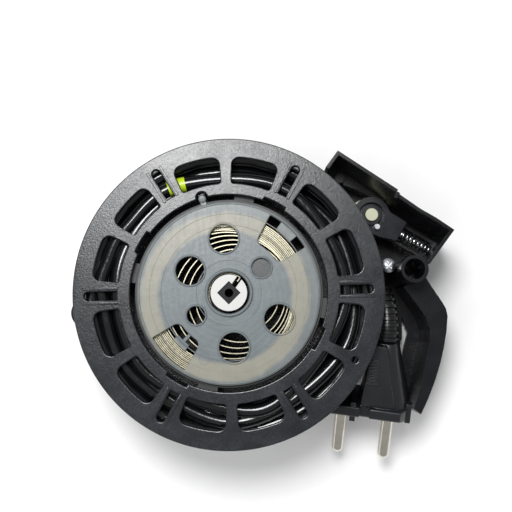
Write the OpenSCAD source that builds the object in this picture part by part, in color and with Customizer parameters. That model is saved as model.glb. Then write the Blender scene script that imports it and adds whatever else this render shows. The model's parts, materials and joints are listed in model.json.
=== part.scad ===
// Mains cord rewind reel of a canister vacuum cleaner, lying on its back.
// The reel turns about Z, its spring side faces up, and Z = 0 is the face it rests on.

/* [Reel] */
// Outside diameter of the front flange
front_flange_d = 120; // [114:1:146]
// Outside diameter of the rear flange, which is the rim that the brake acts on
rear_flange_d = 117; // [112:1:142]
// Thickness of each flange
flange_t = 3; // [2.4:0.2:4]
// Clear height between the flanges
winding_h = 35; // [29:0.5:44]
// Outside diameter of the drum that the cord is wound on
drum_d = 81.7; // [80:0.1:86]
// Wall of the drum
drum_wall = 1.2; // [0.9:0.1:1.4]
// Opening in the middle of the front flange
front_opening_d = 76; // [75:0.5:77.5]
// Width of the plain band outside the flange windows
outer_band_w = 7.3; // [5:0.1:10]
// Depth of the skirt that stiffens each rim
rim_skirt_h = 1.8; // [1:0.1:2.4]
// Width of the skirt that stiffens each rim
rim_skirt_w = 2.1; // [1.4:0.1:3]

/* [Spring] */
// Width of the spring strip
strip_w = 14; // [10:0.5:17]
// Outside diameter of the spring when it is at rest in its cup
spring_pack_d = 68.4; // [64:0.1:68.8]
// Inside diameter of the part of the spring that lies coil on coil
spring_pack_in_d = 56; // [50:0.5:60]
// Outside diameter of the spring cover
cover_d = 71; // [70:0.5:72]
// Thickness of the spring cover
cover_t = 1.8; // [1.4:0.1:2.2]
// Outside diameter of the arbor that holds the inner end of the spring
arbor_d = 14.1; // [12:0.1:15]
// Side of the square socket in the arbor
socket_side = 6.4; // [5.6:0.1:7.2]

/* [Axle and frame] */
// Diameter of the axle that the reel turns on
axle_d = 14; // [11.5:0.1:17]
// Hole through the axle for a fixing screw
axle_hole_d = 3.3; // [2.6:0.1:4]
// Height of the ribs under the carrier plate
rib_h = 3; // [2:0.5:5]
// Thickness of the carrier plate
plate_t = 2.5; // [2:0.1:4]
// Diameter of the round part of the carrier plate
carrier_d = 114; // [106:1:122]
// Gap between the carrier plate and the rear flange
reel_lift = 3.5; // [3:0.1:6]

/* [Brake] */
// Diameter of the brake roller
roller_d = 17; // [14:0.1:20.6]
// Gap between the resting roller and the rim
roller_gap = 0.2; // [0.1:0.05:0.4]
// Place of the roller around the rim, in degrees
roller_angle = 29.8; // [27:0.1:32]
// Direction in which the lever slides to let go, in degrees
slide_angle = -30; // [-34:1:-27]
// Diameter of the roller's own journal
journal_d = 5.2; // [4:0.1:6]
// Outside diameter of the brake spring
brake_spring_d = 5.4; // [4.4:0.1:6]
// Wire of the brake spring
brake_wire_d = 0.7; // [0.5:0.05:0.9]

/* [Cord and plug] */
// Outside diameter of the cord
cord_d = 5.8; // [5:0.1:7]
// Diameter of a plug pin
pin_d = 4.8; // [4:0.1:5]
// Distance between the plug pins
pin_pitch = 19; // [17:0.5:19]
// Length of a plug pin
pin_len = 19; // [17:0.5:20]
// Width of the plug's face
plug_w = 35.2; // [32:0.1:37]
// Thickness of the plug at its face
plug_h = 21; // [18:0.5:22]

/* [Hidden] */
$fn = 64;

// Running and sliding clearances
running = 0.06;
clear = 0.3;
tiny = 0.01;

// Heights, from the resting face up
plate_top = rib_h + plate_t;
rear_z = plate_top + reel_lift;
wind_z0 = rear_z + flange_t;
wind_z1 = wind_z0 + winding_h;
top_z = wind_z1 + flange_t;
cover_z = wind_z1 - 0.4;
cup_floor_z = cover_z - strip_w - 1;
cup_floor_t = 1.8;
web_top = cup_floor_z - cup_floor_t;
web_t = 2.5;
shoulder_h = 2.5;
washer_t = 0.6;
hub_z0 = plate_top + shoulder_h + washer_t + clear;
axle_top = top_z - 2.4;
arbor_top = top_z - 1.4;

// Radii
front_r = front_flange_d / 2;
rear_r = rear_flange_d / 2;
drum_r = drum_d / 2;
drum_in_r = drum_r - drum_wall;
opening_r = front_opening_d / 2;
axle_r = axle_d / 2;
hub_bore_r = axle_r + running;
hub_r = hub_bore_r + 4;
cup_in_r = spring_pack_d / 2 + 0.4;
cup_r = cup_in_r + 1.8;
cover_r = cover_d / 2;
window_in_r = drum_r + 1.65;
window_out_r = front_r - outer_band_w;

boss_at_r = drum_in_r - 2.5;
bite = 0.4;

// Slip rings, under the middle of the reel
ring_carrier_r = 34;
ring_t = 0.8;
ring_z = rear_z;
outer_ring_r = [25, 29];
inner_ring_r = [16, 20];
contact_angle = 250;
contact_gap = 0.15;
block_screw_at = [32.5, 10.8];

// Windows and slots of the flanges
window_mids = [for (k = [0 : 5], s = [-13, 13]) 31.6 + 60 * k + s];
window_half = 10.2;
slot_angles = [for (k = [0 : 5]) 1.6 + 60 * k];
slot_w = 3.4;
bayonet_angles = [63, 150, 239.5, 333];
latch_angle = 106;

// Lug of the carrier
lug_at_r = 63.5;
lug_angle = 186;

// Cord winding: two full layers and part of a third, and the turn that leaves the reel
layer_pitch = cord_d * 0.87;
layer2_r = drum_r + cord_d + layer_pitch;
layer3_r = layer2_r + layer_pitch;
exit_turn_r = layer2_r + cord_d / 2 + 0.5;
exit_turn_z = 31;
layer3_z0 = exit_turn_z + cord_d / 2 + clear;
layer3_turns = 2;
pack_gap = 0.5;
tail_z = wind_z0 + cord_d / 2 + 0.8;

// Brake roller centre; the brake box, the tower and the arm are laid out from it
rim_r = rear_r;
roller_r = roller_d / 2;
roller_c = (rim_r + roller_r + roller_gap) * [cos(roller_angle), sin(roller_angle)];
lever_z0 = 19;
lever_t = 6;
lever_end_u = 14.2;
box_floor_z = 18;
spring_z = lever_z0 + lever_t / 2;
spring_v = -0.6;
spring_end_u = 28.1;
box_wall = 1.4;
box_top = 42;
bay_top = box_top - 2;
bay_u = 2.9;
rail_u = 11;
rail_z = 14;
rail_t = 1.3;
rail_v = [3.1, -4.4];
rail_end_u = spring_end_u - 0.6;
rail_h = lever_z0 - 0.5 - rail_z;
pin_neck = 0.4;
// Outline of the box, along and across the slide: the tray, then the spring bay
tray_path = [[-25.2, 4.6], [-24.4, 12], [3.4, 10.3]];
bay_path = [[2.4, 10.2], [5, 9.4], [14.9, 8.5], [22, 8.5], [30, 7.9], [28.2, -8]];
ramp_path = [[-16.4, 7], [1.8, 10.2]];

// Screw tower and the arm below it
tower_uv = [24.3, -13.5];
tower_r = 5.4;
tower_top = 44;
tower_screw_r = 1.7;
tower_c = roller_c + turned(tower_uv, slide_angle);
boss_c = tower_c + [-8.4, 2.4];
boss_r = 2.9;
boss_top = 30;
arm_top = 30;
arm_wall = 1.8;
arm_outer = [
  [6, -1.1], [9.2, -6.3], [13.4, -12.6], [14.8, -15.1], [15.4, -18.2], [14.8, -24.5], [13.6, -31],
  [12.3, -36.5], [9.9, -44], [6.9, -51.5], [4, -57.5]
];
arm_inner = [
  [1.3, -55.4], [3.3, -49.5], [4.9, -42.5], [6.4, -35.5], [8, -28.5], [8.1, -23.5], [6.4, -18.4],
  [2.6, -12.7], [-1.1, -8], [-2.2, -6.2]
];
ledge_edge = [[-0.3, -54.4], [0.8, -46.5], [-0.2, -40], [1.2, -32.5], [3.2, -24.8], [0.8, -18.1]];
guide_wall = [[-7.1, -18.1], [-1.7, -18.5], [-1.9, -27.4], [-4.1, -30.1], [-6.5, -26.4]];
guide_wall_top = 20;

// Plug, parked beside the reel: its face centre, droop, turn and roll
plug_at = [54.8, -48.2, 22];
plug_droop = 24;
plug_yaw = 4;
plug_roll = 8;
plug_len = 34;
collar_len = 8;
// Grip of the plug, off to one side: offset, half width at the top and at the bottom, half height
grip_front = [7.2, 5.8, 10.2, 8.6];
grip_rear = [5.2, 2.6, 5.2, 5.2];

// Route of the strain relief and of the cord up to the reel
relief_route = [[62, -18.1, 36.6], [62.4, -14, 37.4], [62.4, -10, 37.4], [62.2, -6, 36.8], [61.7, -2, 35.6],
  [60.7, 2, 34.2]];
lead_route = [[60.7, 2, 34.2], [59.5, 5.6, 32.9], [57.9, 9.4, 31.8], [56.2, 13, 31.3], [54.2, 17, 31.1],
  [52, 20.6, 31]];
lead_turn = [for (a = [27 : 12 : 291]) [exit_turn_r * cos(a), exit_turn_r * sin(a), exit_turn_z]];

// ---------- helpers ----------
function turned(p, a) = [p[0] * cos(a) - p[1] * sin(a), p[0] * sin(a) + p[1] * cos(a)];
function polar(r, a) = [r * cos(a), r * sin(a)];
function unit(v) = v / norm(v);
function box_point(p) = roller_c + turned(p, slide_angle);
function arm_point(p) = tower_c + p;
function tangent(p, i) = unit(p[min(i + 1, len(p) - 1)] - p[max(i - 1, 0)]);

// One ring of a swept tube, square to its tangent
function tube_ring(c, t, r, n) =
  let (s = unit(cross(t, [0, 0, 1])), u = cross(s, t))
  [for (k = [0 : n - 1]) c + r * (cos(360 * k / n) * s + sin(360 * k / n) * u)];

// A tube along the points p with the radius r[i] at each of them
module tube_along(p, r, n) {
  m = len(p);
  points = [for (i = [0 : m - 1]) each tube_ring(p[i], tangent(p, i), r[i], n)];
  sides = [for (i = [0 : m - 2], k = [0 : n - 1])
    [i * n + k, i * n + (k + 1) % n, (i + 1) * n + (k + 1) % n, (i + 1) * n + k]];
  start = [[for (k = [0 : n - 1]) n - 1 - k]];
  end = [[for (k = [0 : n - 1]) (m - 1) * n + k]];
  polyhedron(points = points, faces = concat(start, sides, end), convexity = 6);
}

module tube(r_out, r_in, z0, z1, fn = 96) {
  difference() {
    translate([0, 0, z0]) cylinder(h = z1 - z0, r = r_out, $fn = fn);
    translate([0, 0, z0 - 1]) cylinder(h = z1 - z0 + 2, r = r_in, $fn = fn);
  }
}

module slab(points, z0, z1) {
  translate([0, 0, z0]) linear_extrude(z1 - z0) polygon(points);
}

// Offset of a path's corner to its left, mitred
function mitre(p, i) =
  let (a = unit(p[max(i, 1)] - p[max(i, 1) - 1]), b = unit(p[min(i + 1, len(p) - 1)] - p[min(i, len(p) - 2)]),
    m = unit(a + b))
  [-m[1], m[0]] / (a * m);

// An upright wall along a path
module wall_path(p, t, z0, z1) {
  left = [for (i = [0 : len(p) - 1]) p[i] + mitre(p, i) * t / 2];
  right = [for (i = [len(p) - 1 : -1 : 0]) p[i] - mitre(p, i) * t / 2];
  slab(concat(left, right), z0, z1);
}

// Outline of a ring segment about angle 0 with rounded corners
function segment_outline(r0, r1, half, c0, c1) =
  let (d1 = c1 / (r1 - c1) * 180 / PI, d0 = c0 / (r0 + c0) * 180 / PI)
  concat(
    [for (t = [0 : 30 : 90]) polar(r1 - c1 + c1 * sin(t), -half + d1 * (1 - cos(t)))],
    [for (a = [-half + d1 + 2 : 2 : half - d1 - 2]) polar(r1, a)],
    [for (t = [90 : -30 : 0]) polar(r1 - c1 + c1 * sin(t), half - d1 * (1 - cos(t)))],
    [for (t = [0 : 30 : 90]) polar(r0 + c0 - c0 * sin(t), half - d0 * (1 - cos(t)))],
    [for (a = [half - d0 - 2 : -2 : -half + d0 + 2]) polar(r0, a)],
    [for (t = [90 : -30 : 0]) polar(r0 + c0 - c0 * sin(t), -half + d0 * (1 - cos(t)))]
  );

module segment(r0, r1, mid, half, c0, c1, z0, z1) {
  rotate(mid) slab(segment_outline(r0, r1, half, c0, c1), z0, z1);
}

module at_polar(r, a, z = 0) {
  rotate(a) translate([r, 0, z]) children();
}

module place_brake() {
  translate([roller_c[0], roller_c[1], 0]) rotate(slide_angle) children();
}

module place_tower() {
  translate([tower_c[0], tower_c[1], 0]) children();
}

module place_plug() {
  translate(plug_at) rotate([90 + plug_droop, 0, -plug_yaw]) rotate(plug_roll) children();
}

// ---------- frame ----------
carrier_lobe = concat(
  [[26, 49.5], [36.4, 49.6]],
  [for (p = [[-25.9, 5.2], [-25.2, 12.8], [2.8, 11.2], [5.4, 10.2], [15, 9.3], [22, 9.3], [30.8, 8.6],
    [28.9, -8.6]]) box_point(p)],
  [for (p = arm_outer) arm_point(p)],
  [for (p = ledge_edge) arm_point(p)],
  [for (p = [[0.7, -27.5], [-1.7, -30.3]]) arm_point(p)],
  [[52, -21]]
);

module carrier_slots() {
  for (a = [15, 75, 135, 195, 315]) {
    segment(31, 49, a, 17, 4, 5, rib_h - 1, plate_top + 1);
  }
}

module carrier() color([0.12, 0.12, 0.13]) {
  difference() {
    union() {
      translate([0, 0, rib_h]) cylinder(h = plate_t, d = carrier_d, $fn = 128);
      slab(carrier_lobe, rib_h, plate_top);
      cylinder(h = rib_h + bite, r = axle_r + 5);
      tube(carrier_d / 2 - 1, carrier_d / 2 - 3, 0, rib_h + bite, 128);
      tube(30, 28.4, 0, rib_h + bite);
      for (a = [45 : 60 : 345]) {
        rotate(a) translate([axle_r + 4, -0.8, 0]) cube([carrier_d / 2 - axle_r - 6, 1.6, rib_h + bite]);
      }
      wall_path([for (p = [[-24, 11.6], [3, 10], [30, 7.7], [28, -8.2]]) box_point(p)], 1.6, 0, rib_h + bite);
      wall_path([for (p = [[6.5, -4], [13.8, -17], [12, -34], [4, -54]]) arm_point(p)], 1.6, 0, rib_h + bite);
      place_tower() cylinder(h = rib_h + bite, r = tower_r);
      at_polar(lug_at_r, lug_angle) cylinder(h = plate_top, r = 6.3);
      rotate(lug_angle) translate([52, -5.6, rib_h]) cube([11.5, 11.2, plate_t]);
    }
    carrier_slots();
    translate([0, 0, -1]) cylinder(h = plate_top + 2, r = axle_r - 1);
    place_tower() translate([0, 0, -1]) cylinder(h = plate_top + 2, r = tower_screw_r);
    at_polar(lug_at_r, lug_angle, -1) cylinder(h = plate_top + 2, r = 2.2);
    contact_cutouts();
  }
}

module contact_cutouts() {
  for (s = [-1, 1]) {
    rotate(contact_angle) translate([22.5, s * 5 - 3.6, rib_h - 1]) cube([4, 7.2, plate_t + 2]);
    rotate(contact_angle) translate([12, s * 5 - 3.6, -1]) cube([46, 7.2, rib_h + 1]);
    rotate(contact_angle) translate([block_screw_at[0], s * block_screw_at[1], rib_h - 1]) cylinder(h = plate_t + 2, r = 1.3, $fn = 32);
  }
}

module axle() color([0.1, 0.1, 0.11]) {
  difference() {
    union() {
      cylinder(h = plate_top + tiny, r = axle_r - 1 - tiny);
      translate([0, 0, plate_top]) cylinder(h = shoulder_h, r = axle_r + 3.4);
      translate([0, 0, plate_top]) cylinder(h = web_top + cup_floor_t - plate_top, r = axle_r);
      rotate(45) translate([-socket_side / 2 + 0.1, -socket_side / 2 + 0.1, plate_top])
        cube([socket_side - 0.2, socket_side - 0.2, axle_top - plate_top]);
    }
    translate([0, 0, -1]) cylinder(h = axle_top + 2, d = axle_hole_d);
  }
}

module arbor() color([0.93, 0.93, 0.91]) {
  difference() {
    translate([0, 0, cup_floor_z + 0.2]) cylinder(h = arbor_top - cup_floor_z - 0.2, d = arbor_d);
    rotate(45) translate([-socket_side / 2, -socket_side / 2, cup_floor_z])
      cube([socket_side, socket_side, top_z]);
    rotate(55) translate([0, -1.05, cup_floor_z + 0.5]) cube([arbor_d, 2.1, top_z]);
  }
}

module thrust_washer() color([0.85, 0.85, 0.82]) {
  tube(axle_r + 3.4, axle_r + 0.15, plate_top + shoulder_h, plate_top + shoulder_h + washer_t);
}

// The tray and the spring bay of the brake, with the ramp that the roller wedges against
module rim_clearance() {
  translate([0, 0, plate_top - 1]) cylinder(h = box_top, r = rear_r + 0.9, $fn = 128);
}

module brake_tray() color([0.14, 0.14, 0.15]) {
  difference() {
    place_brake() {
      wall_path(tray_path, box_wall, plate_top, box_top);
      wall_path(ramp_path, box_wall, plate_top, box_floor_z);
      slab([[-25, 4.8], [-24.2, 11.8], [2.3, 10.4], [1.8, 10.2], [-16.4, 7]], box_floor_z - 2, box_floor_z);
      translate([-19, 8.2, box_floor_z - tiny]) cylinder(h = 1, r = 2.2, $fn = 32);
      translate([3.4, 7.6, box_floor_z + 9]) cube([1.4, 2.6, box_top - box_floor_z - 9]);
    }
    rim_clearance();
    place_brake() translate([bay_u, 0, plate_top - 1]) cube([40, 11, bay_top - plate_top + 1]);
  }
}

module brake_bay() color([0.14, 0.14, 0.15]) {
  difference() {
    place_brake() {
      wall_path(bay_path, box_wall, plate_top, bay_top);
      translate([spring_end_u, spring_v, spring_z]) rotate([0, -90, 0]) cylinder(h = 3, r = 1.6, $fn = 32);
      translate([spring_end_u - tiny, spring_v - 3.4, plate_top]) cube([1.2, 6.8, spring_z + 4 - plate_top]);
      for (v = rail_v) translate([rail_end_u, v - 0.1, rail_z]) cube([2, rail_t + 0.2, rail_h]);
    }
    place_brake() translate([bay_u - 40, 0, plate_top - 1]) cube([40, 14, box_top]);
  }
}

module lever_rails() color([0.14, 0.14, 0.15]) {
  place_brake() for (v = rail_v) {
    translate([rail_u, v, rail_z]) cube([rail_end_u - rail_u, rail_t, rail_h]);
  }
}

module screw_tower() color([0.12, 0.12, 0.13]) {
  difference() {
    union() {
      place_tower() translate([0, 0, plate_top]) cylinder(h = tower_top - plate_top, r = tower_r);
      translate([boss_c[0], boss_c[1], plate_top]) cylinder(h = boss_top - plate_top, r = boss_r);
      slab([boss_c + [0, -1], tower_c + [0, -1], tower_c + [0, 1], boss_c + [0, 1]], plate_top, boss_top - 4);
      wall_path([tower_c + [2, 2], box_point([28.2, -9.45])], 1.4, plate_top, 36);
    }
    place_tower() translate([0, 0, 16]) cylinder(h = tower_top, r = tower_r - 1.3);
    place_tower() translate([0, 0, plate_top - 1]) cylinder(h = tower_top, r = tower_screw_r);
    translate([boss_c[0], boss_c[1], boss_top - 10]) cylinder(h = 11, r = 1.3, $fn = 32);
  }
  for (a = [20, 110, 200, 290]) {
    place_tower() rotate(a) translate([tower_r - 2.2, -0.5, 15.9]) cube([1.2, 1, 18]);
  }
}

module tower_screw() color([0.8, 0.8, 0.82]) {
  translate([boss_c[0], boss_c[1], boss_top]) {
    difference() {
      intersection() {
        cylinder(h = 2, r = 2.9);
        translate([0, 0, -3]) sphere(r = 5, $fn = 64);
      }
      for (a = [45, 135]) rotate(a) translate([-1.7, -0.35, 1]) cube([3.4, 0.7, 2]);
    }
    translate([0, 0, -8]) cylinder(h = 8 + tiny, r = 1.3, $fn = 32);
  }
}

// Hollow arm that guides the cord and shields the parked plug
module guide_arm() color([0.11, 0.11, 0.12]) {
  place_tower() difference() {
    slab(concat(arm_outer, arm_inner), plate_top, arm_top);
    slab(concat([for (i = [1 : len(arm_outer) - 2]) arm_outer[i] + [-arm_wall, 0.2]],
      [for (i = [1 : len(arm_inner) - 2]) arm_inner[i] + [arm_wall, 0.8]]), plate_top - 1, arm_top - arm_wall);
    translate([0, 0, plate_top - 1]) cylinder(h = arm_top, r = tower_r + tiny);
  }
}

module cord_guide_wall() color([0.12, 0.12, 0.13]) {
  place_tower() slab(guide_wall, plate_top, guide_wall_top);
}

// ---------- electrical contacts ----------
module contact_block() color([0.2, 0.2, 0.2]) {
  difference() {
    rotate(contact_angle) translate([21.2, -13.6, plate_top]) cube([14.5, 27.2, 1.9]);
    for (s = [-1, 1]) {
      rotate(contact_angle) translate([22.9, s * 5 - 3.3, plate_top - 1]) cube([1.2, 6.6, 4]);
      rotate(contact_angle) translate([block_screw_at[0], s * block_screw_at[1], plate_top - 1]) cylinder(h = 4, r = 1.2, $fn = 32);
    }
  }
}

// A strip that ends in a spade terminal below and in a sprung finger under its ring above
module contact_strip(side, ring) {
  rotate(contact_angle) {
    translate([23.1, side * 5 - 3.1, 1]) cube([0.8, 6.2, plate_top + 1.9]);
    translate([23.1, side * 5 - 3.1, 1]) cube([30, 6.2, 0.8]);
    translate([min(ring[0], 23.1), side * 5 - 1.5, plate_top + 2.1])
      cube([max(ring[1], 23.9) - min(ring[0], 23.1), 3, 0.5]);
    translate([(ring[0] + ring[1]) / 2, side * 5, plate_top + 2.1])
      cylinder(h = ring_z - contact_gap - plate_top - 2.1, r = 1.1, $fn = 32);
  }
}

module line_contact() color([0.82, 0.66, 0.32]) contact_strip(1, outer_ring_r);

module neutral_contact() color([0.82, 0.66, 0.32]) contact_strip(-1, inner_ring_r);

module block_screws() color([0.75, 0.75, 0.77]) {
  for (s = [-1, 1]) {
    rotate(contact_angle) translate([block_screw_at[0], s * block_screw_at[1], rib_h - 1.4]) {
      difference() {
        cylinder(h = 1.4, r = 2.3, $fn = 32);
        for (a = [0, 90]) rotate(a) translate([-1.4, -0.3, -1]) cube([2.8, 0.6, 1.6]);
      }
      cylinder(h = 5, r = 1.15, $fn = 32);
    }
  }
}

// ---------- reel ----------
module flange_windows(r0, r1, z0, z1) {
  for (a = window_mids) segment(r0, r1, a, window_half, 1, 3, z0, z1);
}

module front_flange() color([0.2, 0.2, 0.21]) {
  difference() {
    union() {
      tube(front_r - 0.6, opening_r, wind_z1, top_z, 160);
      tube(front_r, front_r - rim_skirt_w, wind_z1 - rim_skirt_h, top_z - 0.6, 160);
      for (a = slot_angles, s = [-1, 1]) {
        at_polar(window_in_r, a, top_z - tiny) translate([0, s * (slot_w / 2 + 1.1) - 0.5, 0]) cube([13.5, 1, 0.45]);
      }
    }
    flange_windows(window_in_r, window_out_r, wind_z1 - 1, top_z + 1);
    for (a = slot_angles) {
      at_polar(window_in_r + 0.5, a, wind_z1 - 1) translate([0, -slot_w / 2, 0]) cube([11, slot_w, 5]);
      at_polar(window_in_r + 11.4, a, wind_z1 - 1) cylinder(h = 6, d = slot_w, $fn = 32);
    }
    for (a = bayonet_angles) {
      segment(opening_r - 2, opening_r + 1.4, a, 7, 0.3, 0.3, wind_z1 - 1, top_z + 1);
    }
    at_polar(opening_r + 0.3, latch_angle, wind_z1 - 1) cylinder(h = 6, r = 2.2, $fn = 32);
    at_polar(front_r - 5.4, 332, wind_z1 - 1) cylinder(h = 6, r = 1.25, $fn = 32);
  }
}

module drum() color([0.16, 0.16, 0.17]) {
  difference() {
    union() {
      rotate(70) tube(drum_r, drum_in_r, wind_z0, wind_z1, 128);
      tube(drum_in_r + bite, hub_bore_r, web_top - web_t, web_top);
      tube(hub_r, hub_bore_r, hub_z0, web_top - bite);
      for (a = [30 : 60 : 330]) {
        rotate(a) translate([hub_r - bite, -0.8, web_top - web_t - 9]) cube([drum_in_r - hub_r + 2 * bite, 1.6, 9 + bite]);
      }
      for (a = [50, 140, 230, 320]) {
        at_polar(boss_at_r, a, wind_z0 + 0.2) cylinder(h = web_top - web_t - wind_z0, r = 3, $fn = 32);
      }
    }
    translate([drum_in_r - 4, 0, tail_z]) rotate([0, 90, 0]) cylinder(h = 8, r = cord_d / 2 + 0.2);
    for (a = [50, 140, 230, 320]) at_polar(boss_at_r, a, wind_z0 - 1) cylinder(h = 11, r = 1.2, $fn = 32);
  }
}

module rear_flange() color([0.15, 0.15, 0.16]) {
  difference() {
    union() {
      tube(rear_r, ring_carrier_r + 0.1, rear_z, wind_z0, 160);
      tube(rear_r, rear_r - rim_skirt_w, rear_z - rim_skirt_h, wind_z0, 160);
    }
    for (a = [20 : 60 : 320]) segment(drum_r + 2, rear_r - 6, a, 22, 2, 3, rear_z - 1, wind_z0 + 1);
    for (a = [50, 140, 230, 320]) at_polar(boss_at_r, a, rear_z - 3) cylinder(h = 12, r = 1.5, $fn = 32);
  }
}

module reel_screws() color([0.75, 0.75, 0.77]) {
  for (a = [50, 140, 230, 320]) {
    at_polar(boss_at_r, a, 0) {
      difference() {
        translate([0, 0, rear_z - 1.3]) cylinder(h = 1.3, r = 2.4, $fn = 32);
        for (t = [0, 90]) rotate(t) translate([-1.4, -0.3, rear_z - 2]) cube([2.8, 0.6, 1.5]);
      }
      translate([0, 0, rear_z - tiny]) cylinder(h = 10, r = 1.2, $fn = 32);
    }
  }
}

module slip_ring_carrier() color([0.78, 0.76, 0.7]) {
  difference() {
    union() {
      tube(ring_carrier_r, hub_r + 0.1, ring_z + ring_t, wind_z0);
      for (r = [(inner_ring_r[1] + outer_ring_r[0]) / 2, outer_ring_r[1] + 1.6]) {
        tube(r + 0.6, r - 0.6, ring_z - 0.2, ring_z + ring_t + tiny);
      }
    }
    for (s = [-1, 1]) translate([32.4, s * 5.6, ring_z - 1]) cylinder(h = 8, r = 1.2, $fn = 32);
    translate([17.5, 1.5, ring_z]) cylinder(h = 6, r = 1.15, $fn = 24);
    translate([26.5, -1.5, ring_z]) cylinder(h = 6, r = 1.15, $fn = 24);
  }
}

module outer_slip_ring() color([0.85, 0.7, 0.36]) tube(outer_ring_r[1], outer_ring_r[0], ring_z, ring_z + ring_t);

module inner_slip_ring() color([0.85, 0.7, 0.36]) tube(inner_ring_r[1], inner_ring_r[0], ring_z, ring_z + ring_t);

module cord_clamp() color([0.2, 0.2, 0.2]) {
  difference() {
    translate([29.4, -8.2, wind_z0]) cube([6, 16.4, cord_d + 2]);
    translate([28, 0, tail_z]) rotate([0, 90, 0]) cylinder(h = 9, r = cord_d / 2 + tiny);
    translate([28, -cord_d / 2 + 0.4, wind_z0 - 1]) cube([9, cord_d - 0.8, 3]);
    for (s = [-1, 1]) translate([32.4, s * 5.6, wind_z0 - 1]) cylinder(h = 12, r = 1.2, $fn = 32);
  }
}

module clamp_screws() color([0.75, 0.75, 0.77]) {
  for (s = [-1, 1]) {
    translate([32.4, s * 5.6, wind_z0 + cord_d + 2]) {
      cylinder(h = 1.5, r = 2.3, $fn = 32);
      translate([0, 0, -9.4]) cylinder(h = 9.5, r = 1.15, $fn = 32);
    }
  }
}

module cord_tail() color([0.08, 0.08, 0.09]) {
  translate([26, 0, tail_z]) rotate([0, 90, 0]) cylinder(h = drum_r - 26 - 0.1, d = cord_d);
}

module core_lead(x_end, y, z_low) {
  translate([x_end, y, tail_z]) rotate([0, 90, 0]) cylinder(h = 26 - x_end, r = 1, $fn = 24);
  translate([x_end, y, z_low]) cylinder(h = tail_z - z_low, r = 1, $fn = 24);
  translate([x_end, y, tail_z]) sphere(r = 1, $fn = 24);
}

module core_leads() color([0.35, 0.22, 0.12]) {
  core_lead(17.5, 1.5, ring_z + ring_t);
  core_lead(24.8, -1.5, wind_z0 + 0.1);
}

// ---------- spring ----------
module spring_cup() color([0.1, 0.1, 0.11]) {
  tube(cup_r, cup_in_r, web_top, cover_z);
  tube(cup_in_r + bite, axle_r + 1, web_top, cup_floor_z);
  for (a = bayonet_angles) {
    segment(cup_r - bite, drum_in_r - 0.3, a + 18, 6, 0.2, 0.2, wind_z1 - 2.2, wind_z1 - 0.5);
  }
}

cover_holes = [[21.1, 95.5, 11.1], [17.3, 150.5, 11], [21.1, 275.6, 11.4], [21.8, 332.5, 11.3], [15.3, 214.5, 7]];
dimple = [15.8, 38, 7.4];
cover_windows = [[22.2, 34.2, 46.5, 15.5], [22, 34, 225.5, 15]];

module spring_cover() color([0.62, 0.64, 0.66, 0.6]) {
  lip_h = 0.6;
  z_top = cover_z + cover_t;
  difference() {
    union() {
      translate([0, 0, cover_z]) cylinder(h = cover_t - 0.4, r = cover_r, $fn = 128);
      translate([0, 0, cover_z]) cylinder(h = cover_t, r = cover_r - 0.5, $fn = 128);
      translate([0, 0, cover_z]) cylinder(h = cover_t + 1, r = 9.3);
      for (h = concat(cover_holes, [dimple])) at_polar(h[0], h[1], cover_z) cylinder(h = cover_t + lip_h, d = h[2] + 1.6);
      rotate(latch_angle) translate([cover_r - 1, -1.2, cover_z]) cube([opening_r - cover_r + 1, 2.4, 1.2]);
      at_polar(opening_r, latch_angle, cover_z) cylinder(h = cover_t + 0.4, r = 1.5, $fn = 32);
    }
    translate([0, 0, cover_z - 1]) cylinder(h = 6, r = max(8, arbor_d / 2 + 0.8));
    at_polar(8.6, 275, cover_z - 1) translate([-1, -0.7, 0]) cube([2, 1.4, 6]);
    for (h = cover_holes) at_polar(h[0], h[1], cover_z - 1) cylinder(h = 6, d = h[2]);
    at_polar(dimple[0], dimple[1], cover_z + 0.7) cylinder(h = 4, d = dimple[2]);
    for (w = cover_windows) segment(w[0], w[1], w[2], w[3], 2.5, 0.5, cover_z - 1, z_top + 1);
  }
  // Tabs that bridge the two windows
  segment(30.4, 33.4, 46.5, 6.5, 0.3, 0.3, cover_z, cover_z + 0.9);
  rotate(46.5) translate([33, -1.2, cover_z]) cube([1.6, 2.4, 0.9]);
  segment(25.4, 27.9, 226, 7, 0.3, 0.3, cover_z, cover_z + 0.9);
  rotate(226) translate([21.4, -1.2, cover_z]) cube([4.4, 2.4, 0.9]);
}

// Packed coils as one ring, then the open coils running in to the arbor
function coil_point(k, n, r0, r1, a0) = polar(r0 + (r1 - r0) * k / n, a0 + 360 * coil_turns * k / n);
coil_turns = 6;
coil_t = 0.5;

module mainspring() color([0.82, 0.78, 0.6]) {
  z0 = cup_floor_z + 0.5;
  n = coil_turns * 30;
  r0 = arbor_d / 2 + 0.3;
  r1 = spring_pack_in_d / 2 + coil_t;
  tube(spring_pack_d / 2, spring_pack_in_d / 2, z0, z0 + strip_w);
  slab(concat([for (k = [0 : n]) coil_point(k, n, r0, r1, 55)],
    [for (k = [n : -1 : 0]) coil_point(k, n, r0 + coil_t, r1 + coil_t, 55)]), z0, z0 + strip_w);
  rotate(55) translate([arbor_d / 2 - 2.6, -0.25, z0]) cube([3.1, 0.5, strip_w]);
}

module spring_clip() color([0.8, 0.8, 0.82]) {
  at_polar(cup_in_r - 0.15, 300, cup_floor_z + 4) translate([-0.2, -1.4, 0]) cube([0.2, 2.8, 6]);
}

// ---------- cord on the reel ----------
module cord_pack() color([0.07, 0.07, 0.08]) {
  r0 = drum_r + 0.02;
  r2 = layer2_r + 0.1;
  r3 = layer3_r + 0.1;
  z3 = layer3_z0 + layer3_turns * cord_d;
  rotate_extrude($fn = 128)
    polygon([[r0, wind_z0 + 0.1], [r2, wind_z0 + 0.1], [r2, layer3_z0], [r3, layer3_z0], [r3, z3], [r2, z3],
      [r2, wind_z1 - pack_gap], [r0, wind_z1 - pack_gap]]);
}

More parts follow.
